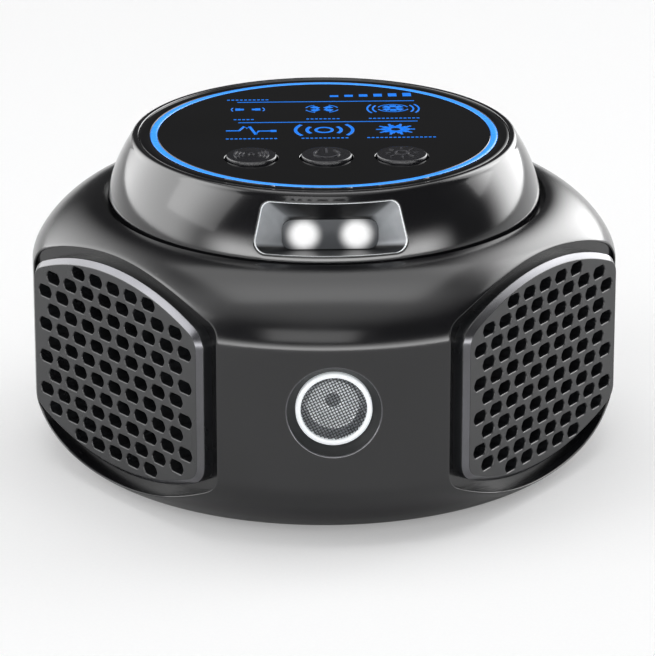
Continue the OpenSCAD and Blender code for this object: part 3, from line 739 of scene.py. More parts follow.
def glow_material(name, base, edge, rough):
    material, tree = new_material(name)
    coords = add(tree, "ShaderNodeTexCoord").outputs["Object"]
    halo = 0.0
    for side in (-1, 1):
        led = (side * LED_X * MM, 0, LED_Z * MM)
        offset = add(tree, "ShaderNodeVectorMath", {0: coords, 1: led}, operation="SUBTRACT").outputs[0]
        level = add(tree, "ShaderNodeVectorMath", {0: offset, 1: (1, 0, 1)}, operation="MULTIPLY").outputs[0]
        far = add(tree, "ShaderNodeVectorMath", {0: level}, operation="LENGTH").outputs["Value"]
        near = add(tree, "ShaderNodeMapRange", {
            "Value": far, "From Min": GLOW_FROM * MM, "From Max": GLOW_TO * MM, "To Min": 1.0,
            "To Max": 0.0}, interpolation_type="SMOOTHERSTEP").outputs["Result"]
        halo = add(tree, "ShaderNodeMath", {0: halo, 1: near}, operation="MAXIMUM").outputs[0]
    speckle = add(tree, "ShaderNodeMix", {0: cloud_share(tree, 1.2, 3.0), 2: 0.92, 3: 1.0},
                  data_type="FLOAT").outputs[0]
    lit = add(tree, "ShaderNodeMath", {0: halo, 1: speckle}, operation="MULTIPLY").outputs[0]
    colour = add(tree, "ShaderNodeMix", {0: lit, 6: linear(edge), 7: linear("#ffffff")}, data_type="RGBA")
    shader = add(tree, "ShaderNodeBsdfPrincipled", {
        "Base Color": linear(base), "Roughness": rough, "IOR": 1.49,
        "Emission Color": colour.outputs[2], "Emission Strength": 1.0})
    add(tree, "ShaderNodeOutputMaterial", {"Surface": shader.outputs["BSDF"]})
    return material


LENS_GLOW = glow_material("frosted_acrylic_lit", "#55575a", "#222325", 0.25)
lens_outline = grown(lamp_window, -LENS_GAP)
flat, flat_faces = fill_flat(lens_outline, [], [(x, z) for x in range(-10, 11, 2) for z in range(-3, 4)])
points, faces = [], []
add_part(points, faces, [(x, -LENS_FRONT, window_mid + z) for x, z in flat], flat_faces)
add_rings(points, faces, [[(x, -y, window_mid + z) for x, z in lens_outline]
                          for y in (LENS_FRONT, LENS_BACK)])
add_part(points, faces, [(x, -LENS_BACK, window_mid + z) for x, z in flat], flat_faces)
make_piece("lamp_window_lens", points, faces, (LENS_GLOW,), 40, "lens_clear", stands_for=("lamp_lens",))

# %% [markdown]
# **Slotted horn panels.** Each panel is a flat plate with a crisp bevel and 86 slots shaped like
# stretched hexagons with rounded corners. The slots repeat on a staggered lattice, so a Geometry
# Nodes tree places one slot's wall at each lattice point. The plate's face is filled between the
# same outlines, so the walls and the face meet edge to edge.

# %% Slot lattice
SLOT_PITCH = 7.18
ROW_PITCH = 4.34
ROW_COUNTS = [5, 8, 9, 8, 9, 8, 9, 8, 9, 8, 5]
END_ROW_SHIFT = 0.2
SLOT_HALF, SLOT_FLAT, SLOT_RISE = 2.85, 1.95, 1.55
SLOT_LIP = 0.2
PLATE_T = 4.0
slot_places = []
for row, count in enumerate(ROW_COUNTS):
    y = (row - (len(ROW_COUNTS) - 1) / 2) * ROW_PITCH
    if row in (0, len(ROW_COUNTS) - 1):
        y -= math.copysign(END_ROW_SHIFT, y)
    slot_places += [((k - (count - 1) / 2) * SLOT_PITCH, y) for k in range(count)]
slot = rounded_polygon([(-SLOT_HALF, 0), (-SLOT_FLAT, -SLOT_RISE), (SLOT_FLAT, -SLOT_RISE),
                        (SLOT_HALF, 0), (SLOT_FLAT, SLOT_RISE), (-SLOT_FLAT, SLOT_RISE)],
                       [0.9, 1.0, 1.0, 0.9, 1.0, 1.0], 4)
print(len(slot_places), "slots in a panel, each outline of", len(slot), "points")


def new_tree(name, sizes):
    """A tree with a geometry in and out and named inputs. Returns it, its inputs and their keys."""
    tree = bpy.data.node_groups.new(name, "GeometryNodeTree")
    for way in ("INPUT", "OUTPUT"):
        tree.interface.new_socket("Geometry", in_out=way, socket_type="NodeSocketGeometry")
    keys = {}
    for label, kind in sizes.items():
        socket = tree.interface.new_socket(label, in_out="INPUT", socket_type="NodeSocket" + kind)
        keys[label] = socket.identifier
    return tree, add(tree, "NodeGroupInput").outputs, keys


def close_tree(tree, geometry, material):
    """Every tree ends the same way: real geometry with its finish on."""
    real = add(tree, "GeometryNodeRealizeInstances", {"Geometry": geometry}).outputs[0]
    worn = add(tree, "GeometryNodeSetMaterial", {"Geometry": real, "Material": material}).outputs[0]
    add(tree, "NodeGroupOutput", {0: worn})


def run_tree(mesh, tree, keys, sizes):
    """Runs a tree on a mesh and returns the result as a plain mesh."""
    seed = bpy.data.objects.new(mesh.name, mesh)
    bpy.context.scene.collection.objects.link(seed)
    modifier = seed.modifiers.new("tree", "NODES")
    modifier.node_group = tree
    for label, value in sizes.items():
        modifier[keys[label]] = value
    bpy.context.view_layer.update()
    depsgraph = bpy.context.evaluated_depsgraph_get()
    result = bpy.data.meshes.new_from_object(seed.evaluated_get(depsgraph))
    bpy.data.objects.remove(seed)
    return result


def plain_mesh(name, points, edges, faces):
    mesh = bpy.data.meshes.new(name)
    mesh.from_pydata([Vector(p) * MM for p in points], edges, faces)
    return mesh


def slot_wall():
    """One slot's wall: a narrow lip and a sleeve through the plate, local Z out of the panel."""
    rings = [[(x, y, z) for x, y in grown(slot, grow)]
             for grow, z in ((SLOT_LIP, PLATE_T), (SLOT_LIP * 0.45, PLATE_T - 0.06),
                             (0, PLATE_T - SLOT_LIP), (0, 0.0))]
    mesh = plain_mesh("slot_wall", [p for ring in rings for p in ring], [], join_rings(rings))
    return bpy.data.objects.new("slot_wall", mesh)


def lattice_tree(material):
    """Copies of a slot wall on staggered rows, one for each point of the incoming mesh."""
    tree, enter, keys = new_tree("slot_lattice", {"Slot wall": "Object", "Slot pitch": "Float",
                                                  "Row pitch": "Float"})
    place = add(tree, "GeometryNodeInputPosition").outputs[0]
    x, y, z = add(tree, "ShaderNodeSeparateXYZ", {0: place}).outputs
    across = add(tree, "ShaderNodeMath", {0: x, 1: enter["Slot pitch"]}, operation="MULTIPLY").outputs[0]
    up = add(tree, "ShaderNodeMath", {0: y, 1: enter["Row pitch"]}, operation="MULTIPLY").outputs[0]
    spot = add(tree, "ShaderNodeCombineXYZ", {0: across, 1: up}).outputs[0]
    spread = add(tree, "GeometryNodeSetPosition", {"Geometry": enter["Geometry"],
                                                   "Position": spot}).outputs[0]
    wall = add(tree, "GeometryNodeObjectInfo", {"Object": enter["Slot wall"]}).outputs["Geometry"]
    copies = add(tree, "GeometryNodeInstanceOnPoints", {"Points": spread, "Instance": wall}).outputs[0]
    close_tree(tree, copies, material)
    return tree, keys


wall_object = slot_wall()
bpy.context.scene.collection.objects.link(wall_object)
seeds = bpy.data.meshes.new("slot_seeds")
seeds.from_pydata([(x / SLOT_PITCH, y / ROW_PITCH, 0) for x, y in slot_places], [], [])
walls_mesh = run_tree(seeds, *lattice_tree(ABS_PANEL), {
    "Slot wall": wall_object, "Slot pitch": SLOT_PITCH * MM, "Row pitch": ROW_PITCH * MM})
bpy.data.objects.remove(wall_object)
print("slot walls:", len(walls_mesh.polygons), "faces")

# %% [markdown]
# The plate's face, bevel and edge are added to the slot walls, and the whole is turned to each of
# the four sides.

# %% The plate
BEVEL = 1.35
FACE_IN = 0.12       # the flat face ends this far inside the panel's outline
BACK_GROW = FACE_IN + BEVEL
BEVEL_AREA = 0.8     # the bevel's faces are larger than any of a slot's lip, in square millimetres
plate_points = [tuple(v.co / MM) for v in walls_mesh.vertices]
plate_faces = [tuple(p.vertices) for p in walls_mesh.polygons]
face_edge = panel_outline(-FACE_IN, 2.2)


def plate_face(grow, lip, z):
    """The flat between the slots on one side of the plate."""
    holes = [[(x + px, y + py) for x, y in grown(slot, lip)] for px, py in slot_places]
    flat, flat_faces = fill_flat(grown(face_edge, grow), holes)
    add_part(plate_points, plate_faces, [(x, y, z) for x, y in flat], flat_faces)


plate_face(0, SLOT_LIP, PLATE_T)
add_rings(plate_points, plate_faces, [[(x, y, z) for x, y in grown(face_edge, grow)] for grow, z in (
    (0, PLATE_T), (0.14, PLATE_T - 0.07), (BACK_GROW - 0.06, PLATE_T - BEVEL + 0.06),
    (BACK_GROW, PLATE_T - BEVEL - 0.1), (BACK_GROW, 0.0))])
plate_face(BACK_GROW, 0, 0.0)

# %% Panels turned to their places
for place_name, turn in PANEL_TURNS.items():
    placed = [turned_point(turn, x, PANEL_DIST - PLATE_T + z, PANEL_Z + y) for x, y, z in plate_points]
    panel = make_piece("panel_" + place_name, placed, plate_faces, (ABS_PANEL, EDGE_PAINTED_HIGHLIGHT), 20,
                       "grille_black", stands_for=("grille_" + place_name,))
    # The bevel's faces get the bright edge finish: a painted highlight.
    outward = Vector(turned_point(turn, 0, 1, 0))
    for face in panel.data.polygons:
        slope = abs(face.normal.dot(outward))
        depth = face.center.dot(outward) / MM
        is_bevel = 0.5 < slope < 0.9 and depth > PANEL_DIST - BEVEL and face.area > BEVEL_AREA * MM * MM
        face.material_index = 1 if is_bevel else 0

# %% [markdown]
# **Display.** A polished black disc lies inside a glowing blue light guide, with a matching trim
# outside it. All three are turned rings with a tiny polished bevel on each edge.

# %% Display disc and rings
BUTTON_Y = -19.9
BUTTON_PITCH = 18.6
BUTTON_R = 6.2
BUTTONS = {"button_sound": -BUTTON_PITCH, "button_power": 0.0, "button_light": BUTTON_PITCH}
BUTTON_GAP = 0.45
DECK = RIM_Z - 2.0
TRIM_R = RIM_INNER_R - 0.15
FINE_GAP = 0.02      # seam on each side of the light guide
FINE_EDGE = 0.12     # polished bevel on the rings
HOLE_EDGE = 0.1      # and round the button holes


def flat_ring(outer, inner, top, foot, edge):
    section = [(outer, foot), (outer, top - edge), (outer - edge, top), (inner + edge, top),
               (inner, top - edge), (inner, foot), (outer, foot)]
    return lathe(section, 240)


make_piece("display_trim", *flat_ring(TRIM_R, RING_R + FINE_GAP, DISC_Z, DECK, FINE_EDGE),
           (ACRYLIC_BLACK,), 60, "panel_black", stands_for=("trim_ring",))
make_piece("light_guide", *flat_ring(RING_R, RING_R - RING_W, DISC_Z, DECK - 1.0, 0.2),
           (GUIDE_BLUE,), 60, "ring_blue", stands_for=("light_ring",))

disc_edge = circle_outline(RING_R - RING_W - FINE_GAP, 240)
hole_edge = circle_outline(BUTTON_R + BUTTON_GAP, 64)
hole_loops = [[(x + bx, y + BUTTON_Y) for x, y in grown(hole_edge, HOLE_EDGE)] for bx in BUTTONS.values()]
points, faces = [], []
flat, flat_faces = fill_flat(grown(disc_edge, -FINE_EDGE), hole_loops)
for z in (DISC_Z, DECK):
    add_part(points, faces, [(x, y, z) for x, y in flat], flat_faces)
add_rings(points, faces, [[(x, y, z) for x, y in grown(disc_edge, grow)] for grow, z in (
    (-FINE_EDGE, DISC_Z), (0, DISC_Z - FINE_EDGE), (0, DECK + FINE_EDGE), (-FINE_EDGE, DECK))])
for bx in BUTTONS.values():
    add_rings(points, faces, [[(x + bx, y + BUTTON_Y, z) for x, y in grown(hole_edge, grow)]
                              for grow, z in ((HOLE_EDGE, DISC_Z), (0, DISC_Z - HOLE_EDGE),
                                              (0, DECK + HOLE_EDGE), (HOLE_EDGE, DECK))])
make_piece("display_disc", points, faces, (ACRYLIC_BLACK,), 40, "panel_black", stands_for=("display_lens",))

# %% [markdown]
# **Display marks.** The lit symbols are printed windows in the disc. Each one is a thin raised strip
# here, swept along a short path: plain lines, level bars and generic symbols, with no lettering.


# %% Marks on the display
MARK_T = 0.05        # each mark stands this far above the disc and as far into it
DASH_PITCH = 1.1
UPPER_Y, LOWER_Y = 20.2, 2.3


def strip(path, width, z_low, z_high, closed=False):
    """A flat strip along a path, as a closed solid."""
    count = len(path)
    left, right = [], []
    for i in range(count):
        before = Vector(path[i - 1] if closed or i else path[0])
        after = Vector(path[(i + 1) % count] if closed or i < count - 1 else path[-1])
        d = (after - before).normalized()
        n = Vector((-d.y, d.x)) * width / 2
        left.append(Vector(path[i]) + n)
        right.append(Vector(path[i]) - n)
    points, faces = [], []
    for side in (left, right):
        for z in (z_low, z_high):
            points += [(p.x, p.y, z) for p in side]
    rows = (0, count, 3 * count, 2 * count)
    last = count if closed else count - 1
    for a, b in zip(rows, rows[1:] + rows[:1]):
        for i in range(last):
            n = (i + 1) % count
            faces.append((a + i, a + n, b + n, b + i))
    if not closed:
        faces.append(rows)
        faces.append(tuple(r + count - 1 for r in rows))
    return points, faces


marks_points, marks_faces = [], []


def mark(path, width, closed=False):
    add_part(marks_points, marks_faces, *strip(path, width, DISC_Z - MARK_T, DISC_Z + MARK_T, closed))


def ring_mark(cx, cy, r, width):
    mark([(cx + x, cy + y) for x, y in arc(0, 0, r, 0, 330, 22)], width, closed=True)


def waves(cx, cy, radii, half_turn, steps, width):
    """Sound waves on both sides of a middle point."""
    for a in (180, 0):
        for r in radii:
            mark(arc(cx, cy, r, a - half_turn, a + half_turn, steps), width)


def petals(cx, cy, angles, reach):
    """Pods set round a middle point, each with a short bar outside it."""
    for a in angles:
        dx, dy = math.cos(math.radians(a)), 0.8 * math.sin(math.radians(a))
        mark([(cx + 1.0 * dx, cy + 1.0 * dy), (cx + 1.9 * dx, cy + 1.9 * dy)], 1.2)
        mark([(cx + 1.9 * dx, cy + 1.9 * dy), (cx + (reach - 1.0) * dx, cy + (reach - 1.0) * dy)], 1.7)
        mark([(cx + x, cy + 0.8 * y) for x, y in arc(0, 0, reach, a - 24, a + 24, 8)], 0.3)


def label_place(cx, y, length):
    """Where a label would be: a row of short dashes."""
    count = int(length / DASH_PITCH)
    for k in range(count):
        x = cx + (k - (count - 1) / 2) * DASH_PITCH
        mark([(x - 0.36, y), (x + 0.36, y)], 0.55)


for y in (26.4, 9.0):
    mark([(-21.4, y), (24.0, y)], 0.38)
for k in range(6):
    x = 3.6 + k * 3.76
    mark([(x, 30.4), (x, 31.7 + 0.3 * k)], 2.2)
label_place(-18.7, 28.4, 11.5)
petals(-18.8, UPPER_Y, (0, 180), 4.2)
petals(0.1, UPPER_Y, (40, 140, 220, 320), 4.2)
petals(18.3, UPPER_Y, (40, 90, 140, 220, 270, 320), 3.9)
waves(18.3, UPPER_Y - 0.4, (5.2, 6.6), 32, 10, 0.45)
mark([(-24.6, 2.3), (-21.3, 2.3), (-20.0, 5.8), (-19.3, 4.2), (-18.6, 5.7), (-17.1, -1.1), (-16.4, 1.9),
      (-13.2, 1.9)], 0.7)
mark([(-13.4, 1.9), (-11.9, 1.9)], 1.5)
ring_mark(0.1, LOWER_Y, 2.1, 0.75)
waves(0.1, LOWER_Y, (4.3, 7.2), 38, 14, 0.85)
ring_mark(18.1, LOWER_Y, 1.9, 1.3)
for k in range(10):
    ray = Vector((math.cos(math.radians(36 * k)), 0.92 * math.sin(math.radians(36 * k))))
    for near, far, width in ((2.0, 3.6, 1.3), (3.5, 4.9, 0.6)):
        mark([Vector((18.1, LOWER_Y)) + ray * near, Vector((18.1, LOWER_Y)) + ray * far], width)
for x, y, length in ((-20.0, 11.6, 6), (0.1, 11.6, 9), (18.2, 11.6, 14),
                     (-18.3, -4.4, 14), (0.1, -4.4, 13), (19.3, -4.4, 18)):
    label_place(x, y, length)
make_piece("display_marks", marks_points, marks_faces, (LIT_BLUE,), 30, "ring_blue")

# %% [markdown]
# **Push buttons.** Three identical caps with a rounded rim and a shallow dish, each with a raised
# symbol: sound waves, power and light. Each rides on its own body, because it travels down when
# it is pressed.

# %% Button caps
DISH_R, DISH_DEPTH, DISH_STEPS = 5.6, 0.18, 8
RIM_ROUND = 0.35
SYMBOL_RISE = 0.12
SKIRT_R, SKIRT_TOP, SKIRT_FOOT = 7.1, BUTTON_TOP - 3.5, 78.4
STEM_R, STEM_FOOT = 1.2, 76.6
dish_z = BUTTON_TOP - SYMBOL_RISE
cap_section = [(0, dish_z)]
cap_section += [(DISH_R * k / DISH_STEPS, dish_z - DISH_DEPTH * (k / DISH_STEPS) ** 2)
                for k in range(1, DISH_STEPS + 1)]
cap_section += reversed(arc(BUTTON_R - RIM_ROUND, BUTTON_TOP - 0.66, RIM_ROUND, 0, 80, 6))
cap_section += [(BUTTON_R, SKIRT_TOP), (SKIRT_R, SKIRT_TOP), (SKIRT_R, SKIRT_FOOT), (STEM_R, SKIRT_FOOT),
                (STEM_R, STEM_FOOT), (0, STEM_FOOT)]


def symbol_strips(kind, cx, cy):
    if kind == "button_sound":
        waves = [(arc(cx, cy, r, a - 36, a + 36, 10), 0.45) for r in (2.2, 3.2, 4.2) for a in (0, 180)]
        return waves + [([(cx - 0.9, cy - 0.5), (cx, cy + 1.0), (cx + 0.9, cy - 0.5)], 0.5)]
    if kind == "button_power":
        return [(arc(cx, cy, 3.1, 125, 415, 30), 0.55), ([(cx, cy + 0.2), (cx, cy + 3.9)], 0.6)]
    strips = [(arc(cx, cy, 1.6, 0, 360, 24), 0.5)]
    for k in range(8):
        a = math.radians(45 * k)
        strips.append(([(cx + 2.7 * math.cos(a), cy + 2.7 * math.sin(a)),
                        (cx + 4.1 * math.cos(a), cy + 4.1 * math.sin(a))], 0.5))
    return strips


for name, bx in BUTTONS.items():
    points, faces = lathe(cap_section, 96, (bx, BUTTON_Y))
    for path, width in symbol_strips(name, bx, BUTTON_Y):
        add_part(points, faces, *strip(path, width, BUTTON_TOP - 0.8, BUTTON_TOP))
    cap = make_piece(name + "_cap", points, faces, (ABS_BUTTON, SYMBOL_PAINTED_HIGHLIGHT), 40, "button_black",
                     stands_for=(name,), body=name)
    # The symbols' top faces get the lighter grey: a painted highlight.
    for face in cap.data.polygons:
        face.material_index = 1 if face.center.z / MM > BUTTON_TOP - 0.1 else 0

# %% [markdown]
# **Front transducer.** A bright ring holds a fine woven wire mesh in front of a pale cone. The mesh is
# woven as the real one is: two sets of wires cross at a right angle and pass over and under each
# other in turn. The wires' wavy centre lines are worked out here, and Geometry Nodes sweep a round
# profile along them.

# %% Woven mesh
WIRE_PITCH = 0.74
WIRE_R = 0.115
WIRE_SIDES = 5       # a wire this thin needs no rounder section
WAVE = WIRE_R * 0.8
MESH_R = EAR_R - 1.25
MESH_DEPTH = EAR_FACE - 0.75
MESH_TURN = math.radians(25)


def wire_tree(material):
    """Turns wire centre lines to round wires of a given radius."""
    tree, enter, keys = new_tree("woven_wires", {"Wire radius": "Float"})
    curves = add(tree, "GeometryNodeMeshToCurve", {"Mesh": enter["Geometry"]}).outputs[0]
    profile = add(tree, "GeometryNodeCurvePrimitiveCircle", {"Resolution": WIRE_SIDES,
                                                             "Radius": enter["Wire radius"]}).outputs[0]
    tube = add(tree, "GeometryNodeCurveToMesh", {"Curve": curves, "Profile Curve": profile,
                                                 "Fill Caps": True}).outputs[0]
    smooth = add(tree, "GeometryNodeSetShadeSmooth", {"Geometry": tube}).outputs[0]
    close_tree(tree, smooth, material)
    return tree, keys


def wire_lines():
    """Points and edges of both sets of wires, each a cosine wave cut to the round frame."""
    points, edges = [], []
    reach = int(MESH_R / WIRE_PITCH)
    for family in (0, 1):
        for k in range(-reach, reach + 1):
            offset = k * WIRE_PITCH
            half = math.sqrt(max(MESH_R ** 2 - offset ** 2, 0.0))
            if half < WIRE_PITCH:
                continue
            steps = int(4 * half / WIRE_PITCH)
            for i in range(steps + 1):
                s = -half + 2 * half * i / steps
                wave = WAVE * math.cos(math.pi * (s / WIRE_PITCH + k + family))
                a, b = (s, offset) if family == 0 else (offset, s)
                points.append((a * math.cos(MESH_TURN) - b * math.sin(MESH_TURN), -MESH_DEPTH - wave,
                               EAR_Z + (a * math.sin(MESH_TURN) + b * math.cos(MESH_TURN))))
                if i:
                    edges.append((len(points) - 2, len(points) - 1))
    return points, edges


wires = run_tree(plain_mesh("wire_lines", *wire_lines(), []), *wire_tree(MESH_STEEL),
                 {"Wire radius": WIRE_R * MM})
show("woven_mesh", wires, (MESH_STEEL,), "mesh_steel", stands_for=("transducer_mesh",))

# %% [markdown]
# The ring has a flat white face with small rounded edges, and the cone behind the mesh is a thin
# spun dish with a pale rim. Both carry a painted glow.


# %% Ring and cone
def facing_front(section):
    """Turns a section of (radius, depth from the centre line) about the transducer's axis."""
    points, faces = lathe(section, 96)
    return [(x, -z, EAR_Z + y) for x, y, z in points], faces


BEZEL_BACK = EAR_FACE - 1.4
bezel_section = [(EAR_R, BEZEL_BACK), (EAR_R, EAR_FACE - 0.2), (EAR_R - 0.2, EAR_FACE),
                 (MESH_R + 0.15, EAR_FACE), (MESH_R, EAR_FACE - 0.15), (MESH_R, BEZEL_BACK),
                 (EAR_R, BEZEL_BACK)]
make_piece("transducer_bezel", *facing_front(bezel_section), (WHITE_PAINTED_GLOW,), 60, "ring_silver",
           stands_for=("transducer_ring",))
dish_section = [(1.9, 65.2), (2.3, 65.3), (4.2, 66.8), (5.7, 68.2), (6.1, 68.3), (6.1, 68.0),
                (5.6, 67.7), (2.2, 64.8), (1.9, 64.8), (1.9, 65.2)]
make_piece("transducer_dish", *facing_front(dish_section), (CONE_PAINTED_GLOW,), 50, "can_alu",
           stands_for=("transducer_cone",))

# %% [markdown]
# **Underside and back.** Four moulded rubber feet with a rounded edge, and four cross-head screws in
# their recesses. One screw is cut once, and Geometry Nodes set its copies on a ring.

# %% Feet
FOOT_RING_R = 48.0
foot_section = [(0, 0), (5.2, 0), (5.9, 0.12), (6.35, 0.45), (6.5, 0.95), (6.5, 1.6), (0, 1.6)]
points, faces = [], []
for k in range(4):
    a = math.radians(45 + 90 * k)
    add_part(points, faces, *lathe(foot_section, 64, (FOOT_RING_R * math.cos(a), FOOT_RING_R * math.sin(a))))
make_piece("feet", points, faces, (RUBBER,), 50, "seal_rubber", stands_for=("rubber_feet",))

# %% Screws in the base
SCREW_COUNT = 4
SCREW_RING_R = 54.0
SCREW_Z = 1.1        # height of the sunk heads
RECESS_BARS = ((2.6, 0.55, 1.1), (0.55, 2.6, 1.04))
screw_section = [(0, 0), (1.7, 0.02), (2.4, 0.2), (2.75, 0.6), (2.75, 1.1), (1.2, 1.1), (1.2, 6.5), (0, 7.4)]


def screw_tree(material):
    """Cuts the cross recess in a screw with two crossed bars and sets copies on a ring."""
    tree, enter, keys = new_tree("screws_on_a_ring", {"Count": "Int", "Ring radius": "Float",
                                                      "Height": "Float"})
    cross = add(tree, "GeometryNodeMeshBoolean", operation="UNION")
    for size in RECESS_BARS:
        bar = add(tree, "GeometryNodeMeshCube", {"Size": tuple(s * MM for s in size)}).outputs[0]
        tree.links.new(bar, cross.inputs["Mesh 2"])
    head = add(tree, "GeometryNodeMeshBoolean", {"Mesh 1": enter["Geometry"], "Mesh 2": cross.outputs[0]},
               operation="DIFFERENCE").outputs[0]
    clean = add(tree, "GeometryNodeMergeByDistance", {"Geometry": head, "Distance": 0.001 * MM}).outputs[0]
    ring = add(tree, "GeometryNodeMeshCircle", {"Vertices": enter["Count"],
                                                "Radius": enter["Ring radius"]}).outputs[0]
    copies = add(tree, "GeometryNodeInstanceOnPoints", {"Points": ring, "Instance": clean}).outputs[0]
    lift = add(tree, "ShaderNodeCombineXYZ", {2: enter["Height"]}).outputs[0]
    lifted = add(tree, "GeometryNodeTransform", {"Geometry": copies, "Translation": lift}).outputs[0]
    close_tree(tree, lifted, material)
    return tree, keys


screw_points, screw_faces = lathe(screw_section, 24)
screws = run_tree(plain_mesh("cross_screw", screw_points, [], screw_faces), *screw_tree(ZINC), {
    "Count": SCREW_COUNT, "Ring radius": SCREW_RING_R * MM, "Height": SCREW_Z * MM})
finish_mesh(screws, 30)
show("cross_screws", screws, (ZINC,), "screw_zinc", stands_for=("base_screws",))

# %% [markdown]
# **Parts that keep their CAD shape.** The base plate, the socket and everything inside the housing
# have the right shape already, so they only get their finishes.

# %% Finishes on the CAD pieces
CAD_FINISHES = {
    "base_plate": ABS_BASE, "dc_jack": ABS_BASE, "dc_jack_pin": BRASS, "display_carrier": CARRIER_ABS,
    "display_board": BOARD, "main_board": BOARD, "switch_cases": NYLON, "board_connectors": NYLON,
    "ring_leds": LED_PACKAGE, "icon_leds": LED_PACKAGE, "lamp_leds": LED_LIT, "lamp_board": NYLON,
    "controller_chip": EPOXY, "driver_chips": EPOXY, "transformer": WINDING, "capacitors": SLEEVE_BLUE,
    "ribbon_cable": FLAT_CABLE, "speaker_leads": LEAD_RED, "transducer_lead": LEAD_RED,
    "transducer_can": ALU, "transducer_sleeve": RUBBER, "board_screws": ZINC, "crown_screws": ZINC,
    "display_screws": ZINC}
for place_name in PANEL_TURNS:
    CAD_FINISHES["horn_" + place_name] = HORN_ABS
    CAD_FINISHES["driver_" + place_name] = STEEL_CAN
for name, material in CAD_FINISHES.items():
    wear(nodes[name], material)
print(len(CAD_FINISHES), "CAD nodes finished")

# %% [markdown]
# **Stage, light and camera.** A white sweep with plain soft lights. The plastic is dark and smooth, so
# what shapes it is what it reflects: large soft panels at the sides and above, and darkness between
# them. The camera sees a white background, and the floor keeps the object's shadow.

# %% Floor
FLOOR_Z = -0.0001
FLOOR_HALF = 3
FLOOR_GLOW = 0.3
floor_material, tree = new_material("painted_white_floor")
paint = add(tree, "ShaderNodeMix", {0: cloud_share(tree, 0.8, 2.0), 6: linear("#fafafb"),
                                    7: linear("#fdfdfd")}, data_type="RGBA").outputs[2]
matt = add(tree, "ShaderNodeBsdfPrincipled", {"Base Color": paint, "Roughness": 0.8}).outputs[0]
glow = add(tree, "ShaderNodeEmission", {"Color": (1, 1, 1, 1), "Strength": 1.0}).outputs[0]
camera_ray = add(tree, "ShaderNodeLightPath").outputs["Is Camera Ray"]
share = add(tree, "ShaderNodeMath", {0: camera_ray, 1: FLOOR_GLOW}, operation="MULTIPLY").outputs[0]
mixed = add(tree, "ShaderNodeMixShader", {0: share, 1: matt, 2: glow}).outputs[0]
add(tree, "ShaderNodeOutputMaterial", {"Surface": mixed})
floor_mesh = bpy.data.meshes.new("floor")
corners = [(x * FLOOR_HALF, y * FLOOR_HALF, FLOOR_Z) for x, y in ((-1, -1), (1, -1), (1, 1), (-1, 1))]
floor_mesh.from_pydata(corners, [], [(0, 1, 2, 3)])
floor = bpy.data.objects.new("floor", floor_mesh)
bpy.context.scene.collection.objects.link(floor)
wear(floor, floor_material)

# %% [markdown]
# The world plays the studio. Diffuse light from it is even and weak. Glossy surfaces see soft
# panels instead, each one a brightness and the directions between which it fades in.

# %% World
STUDIO_BASE = 0.06
EVEN_LIGHT = 0.4
UPRIGHT = [("Z", -0.3, -0.1), ("Z", 0.95, 0.6)]
STUDIO_PANELS = {
    "left": (4.2, [("X", -0.25, -0.75), ("Y", -0.5, 0.0)] + UPRIGHT),
    "right": (6.2, [("X", 0.2, 0.5), ("Y", 0.05, 0.5)] + UPRIGHT),
    "front": (7.5, [("Y", -0.3, -0.65), ("Z", 0.34, 0.06)]),
    "above": (1.2, [("Z", 0.7, 0.95), ("Y", 0.35, -0.1)])}


def studio_brightness(tree):
    """Brightness of the studio by direction: the sum of its panels."""
    direction = add(tree, "ShaderNodeTexCoord").outputs["Generated"]
    way = add(tree, "ShaderNodeSeparateXYZ", {0: direction}).outputs
    total = STUDIO_BASE
    for brightness, fades in STUDIO_PANELS.values():
        panel = brightness
        for axis, dark_at, bright_at in fades:
            fade = add(tree, "ShaderNodeMapRange", {
                "Value": way[axis], "From Min": dark_at, "From Max": bright_at},
                interpolation_type="SMOOTHSTEP").outputs["Result"]
            panel = add(tree, "ShaderNodeMath", {0: panel, 1: fade}, operation="MULTIPLY").outputs[0]
        total = add(tree, "ShaderNodeMath", {0: total, 1: panel}, operation="ADD").outputs[0]
    return total


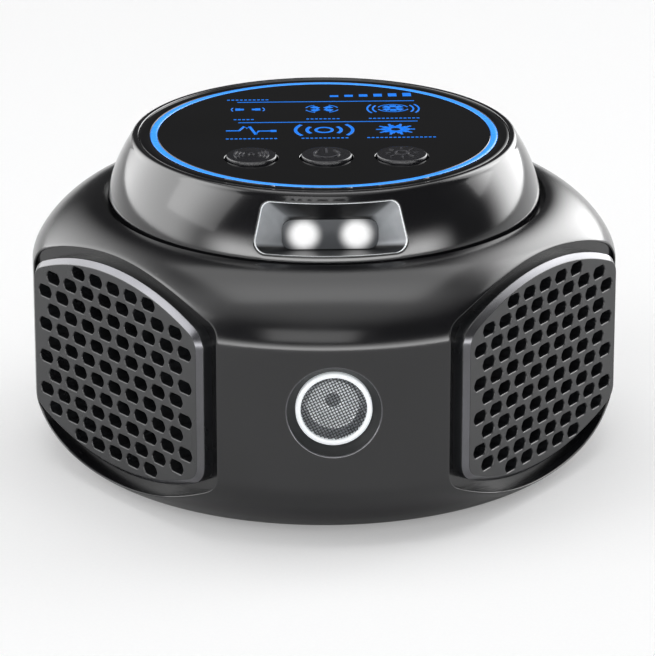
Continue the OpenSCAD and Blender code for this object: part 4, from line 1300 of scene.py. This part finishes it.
world = bpy.data.worlds.new("studio")
bpy.context.scene.world = world
world.use_nodes = True
tree = world.node_tree
tree.nodes.clear()
path = add(tree, "ShaderNodeLightPath").outputs
mirrored = add(tree, "ShaderNodeMath", {0: path["Is Glossy Ray"], 1: path["Is Transmission Ray"]},
               operation="MAXIMUM").outputs[0]
plain, studio, seen = (
    add(tree, "ShaderNodeBackground", {"Color": (1, 1, 1, 1), "Strength": strength}).outputs[0]
    for strength in (EVEN_LIGHT, studio_brightness(tree), 1.0))
lit = add(tree, "ShaderNodeMixShader", {0: mirrored, 1: plain, 2: studio}).outputs[0]
sky = add(tree, "ShaderNodeMixShader", {0: path["Is Camera Ray"], 1: lit, 2: seen}).outputs[0]
add(tree, "ShaderNodeOutputWorld", {"Surface": sky})


# %% Lights
def softbox(name, place, target, size, power):
    data = bpy.data.lights.new(name, "AREA")
    data.shape = "RECTANGLE"
    data.size, data.size_y = size
    data.energy = power
    lamp = bpy.data.objects.new(name, data)
    lamp.location = place
    aim = Vector(target) - Vector(place)
    lamp.rotation_euler = aim.to_track_quat("-Z", "Y").to_euler()
    bpy.context.scene.collection.objects.link(lamp)


softbox("side_right", (0.95, 0.35, 0.75), (0, 0, 0.05), (0.7, 0.7), 3.2)
softbox("side_left", (-0.95, -0.20, 0.65), (0, 0, 0.05), (0.7, 0.7), 2.6)
softbox("overhead", (0.0, 0.15, 1.2), (0, 0, 0.05), (1.1, 0.9), 6.0)
softbox("front_fill", (-0.15, -1.2, 0.85), (0, 0, 0.04), (0.8, 0.5), 2.6)

# %% Camera
CAMERA_TURN = math.radians(1.93)
CAMERA_FALL = math.radians(20.21)
CAMERA_AWAY = 1.0787
LENS_LENGTH = 235.7
aim_point = Vector((0.0003, -0.0170, 0.0359))
forward = Vector((math.sin(CAMERA_TURN) * math.cos(CAMERA_FALL),
                  math.cos(CAMERA_TURN) * math.cos(CAMERA_FALL), -math.sin(CAMERA_FALL)))
camera_data = bpy.data.cameras.new("camera")
camera_data.sensor_width = 36
camera_data.lens = LENS_LENGTH
camera = bpy.data.objects.new("camera", camera_data)
camera.location = aim_point - forward * CAMERA_AWAY
camera.rotation_euler = forward.to_track_quat("-Z", "Y").to_euler()
bpy.context.scene.collection.objects.link(camera)
bpy.context.scene.camera = camera
bpy.context.scene.view_settings.view_transform = "Standard"
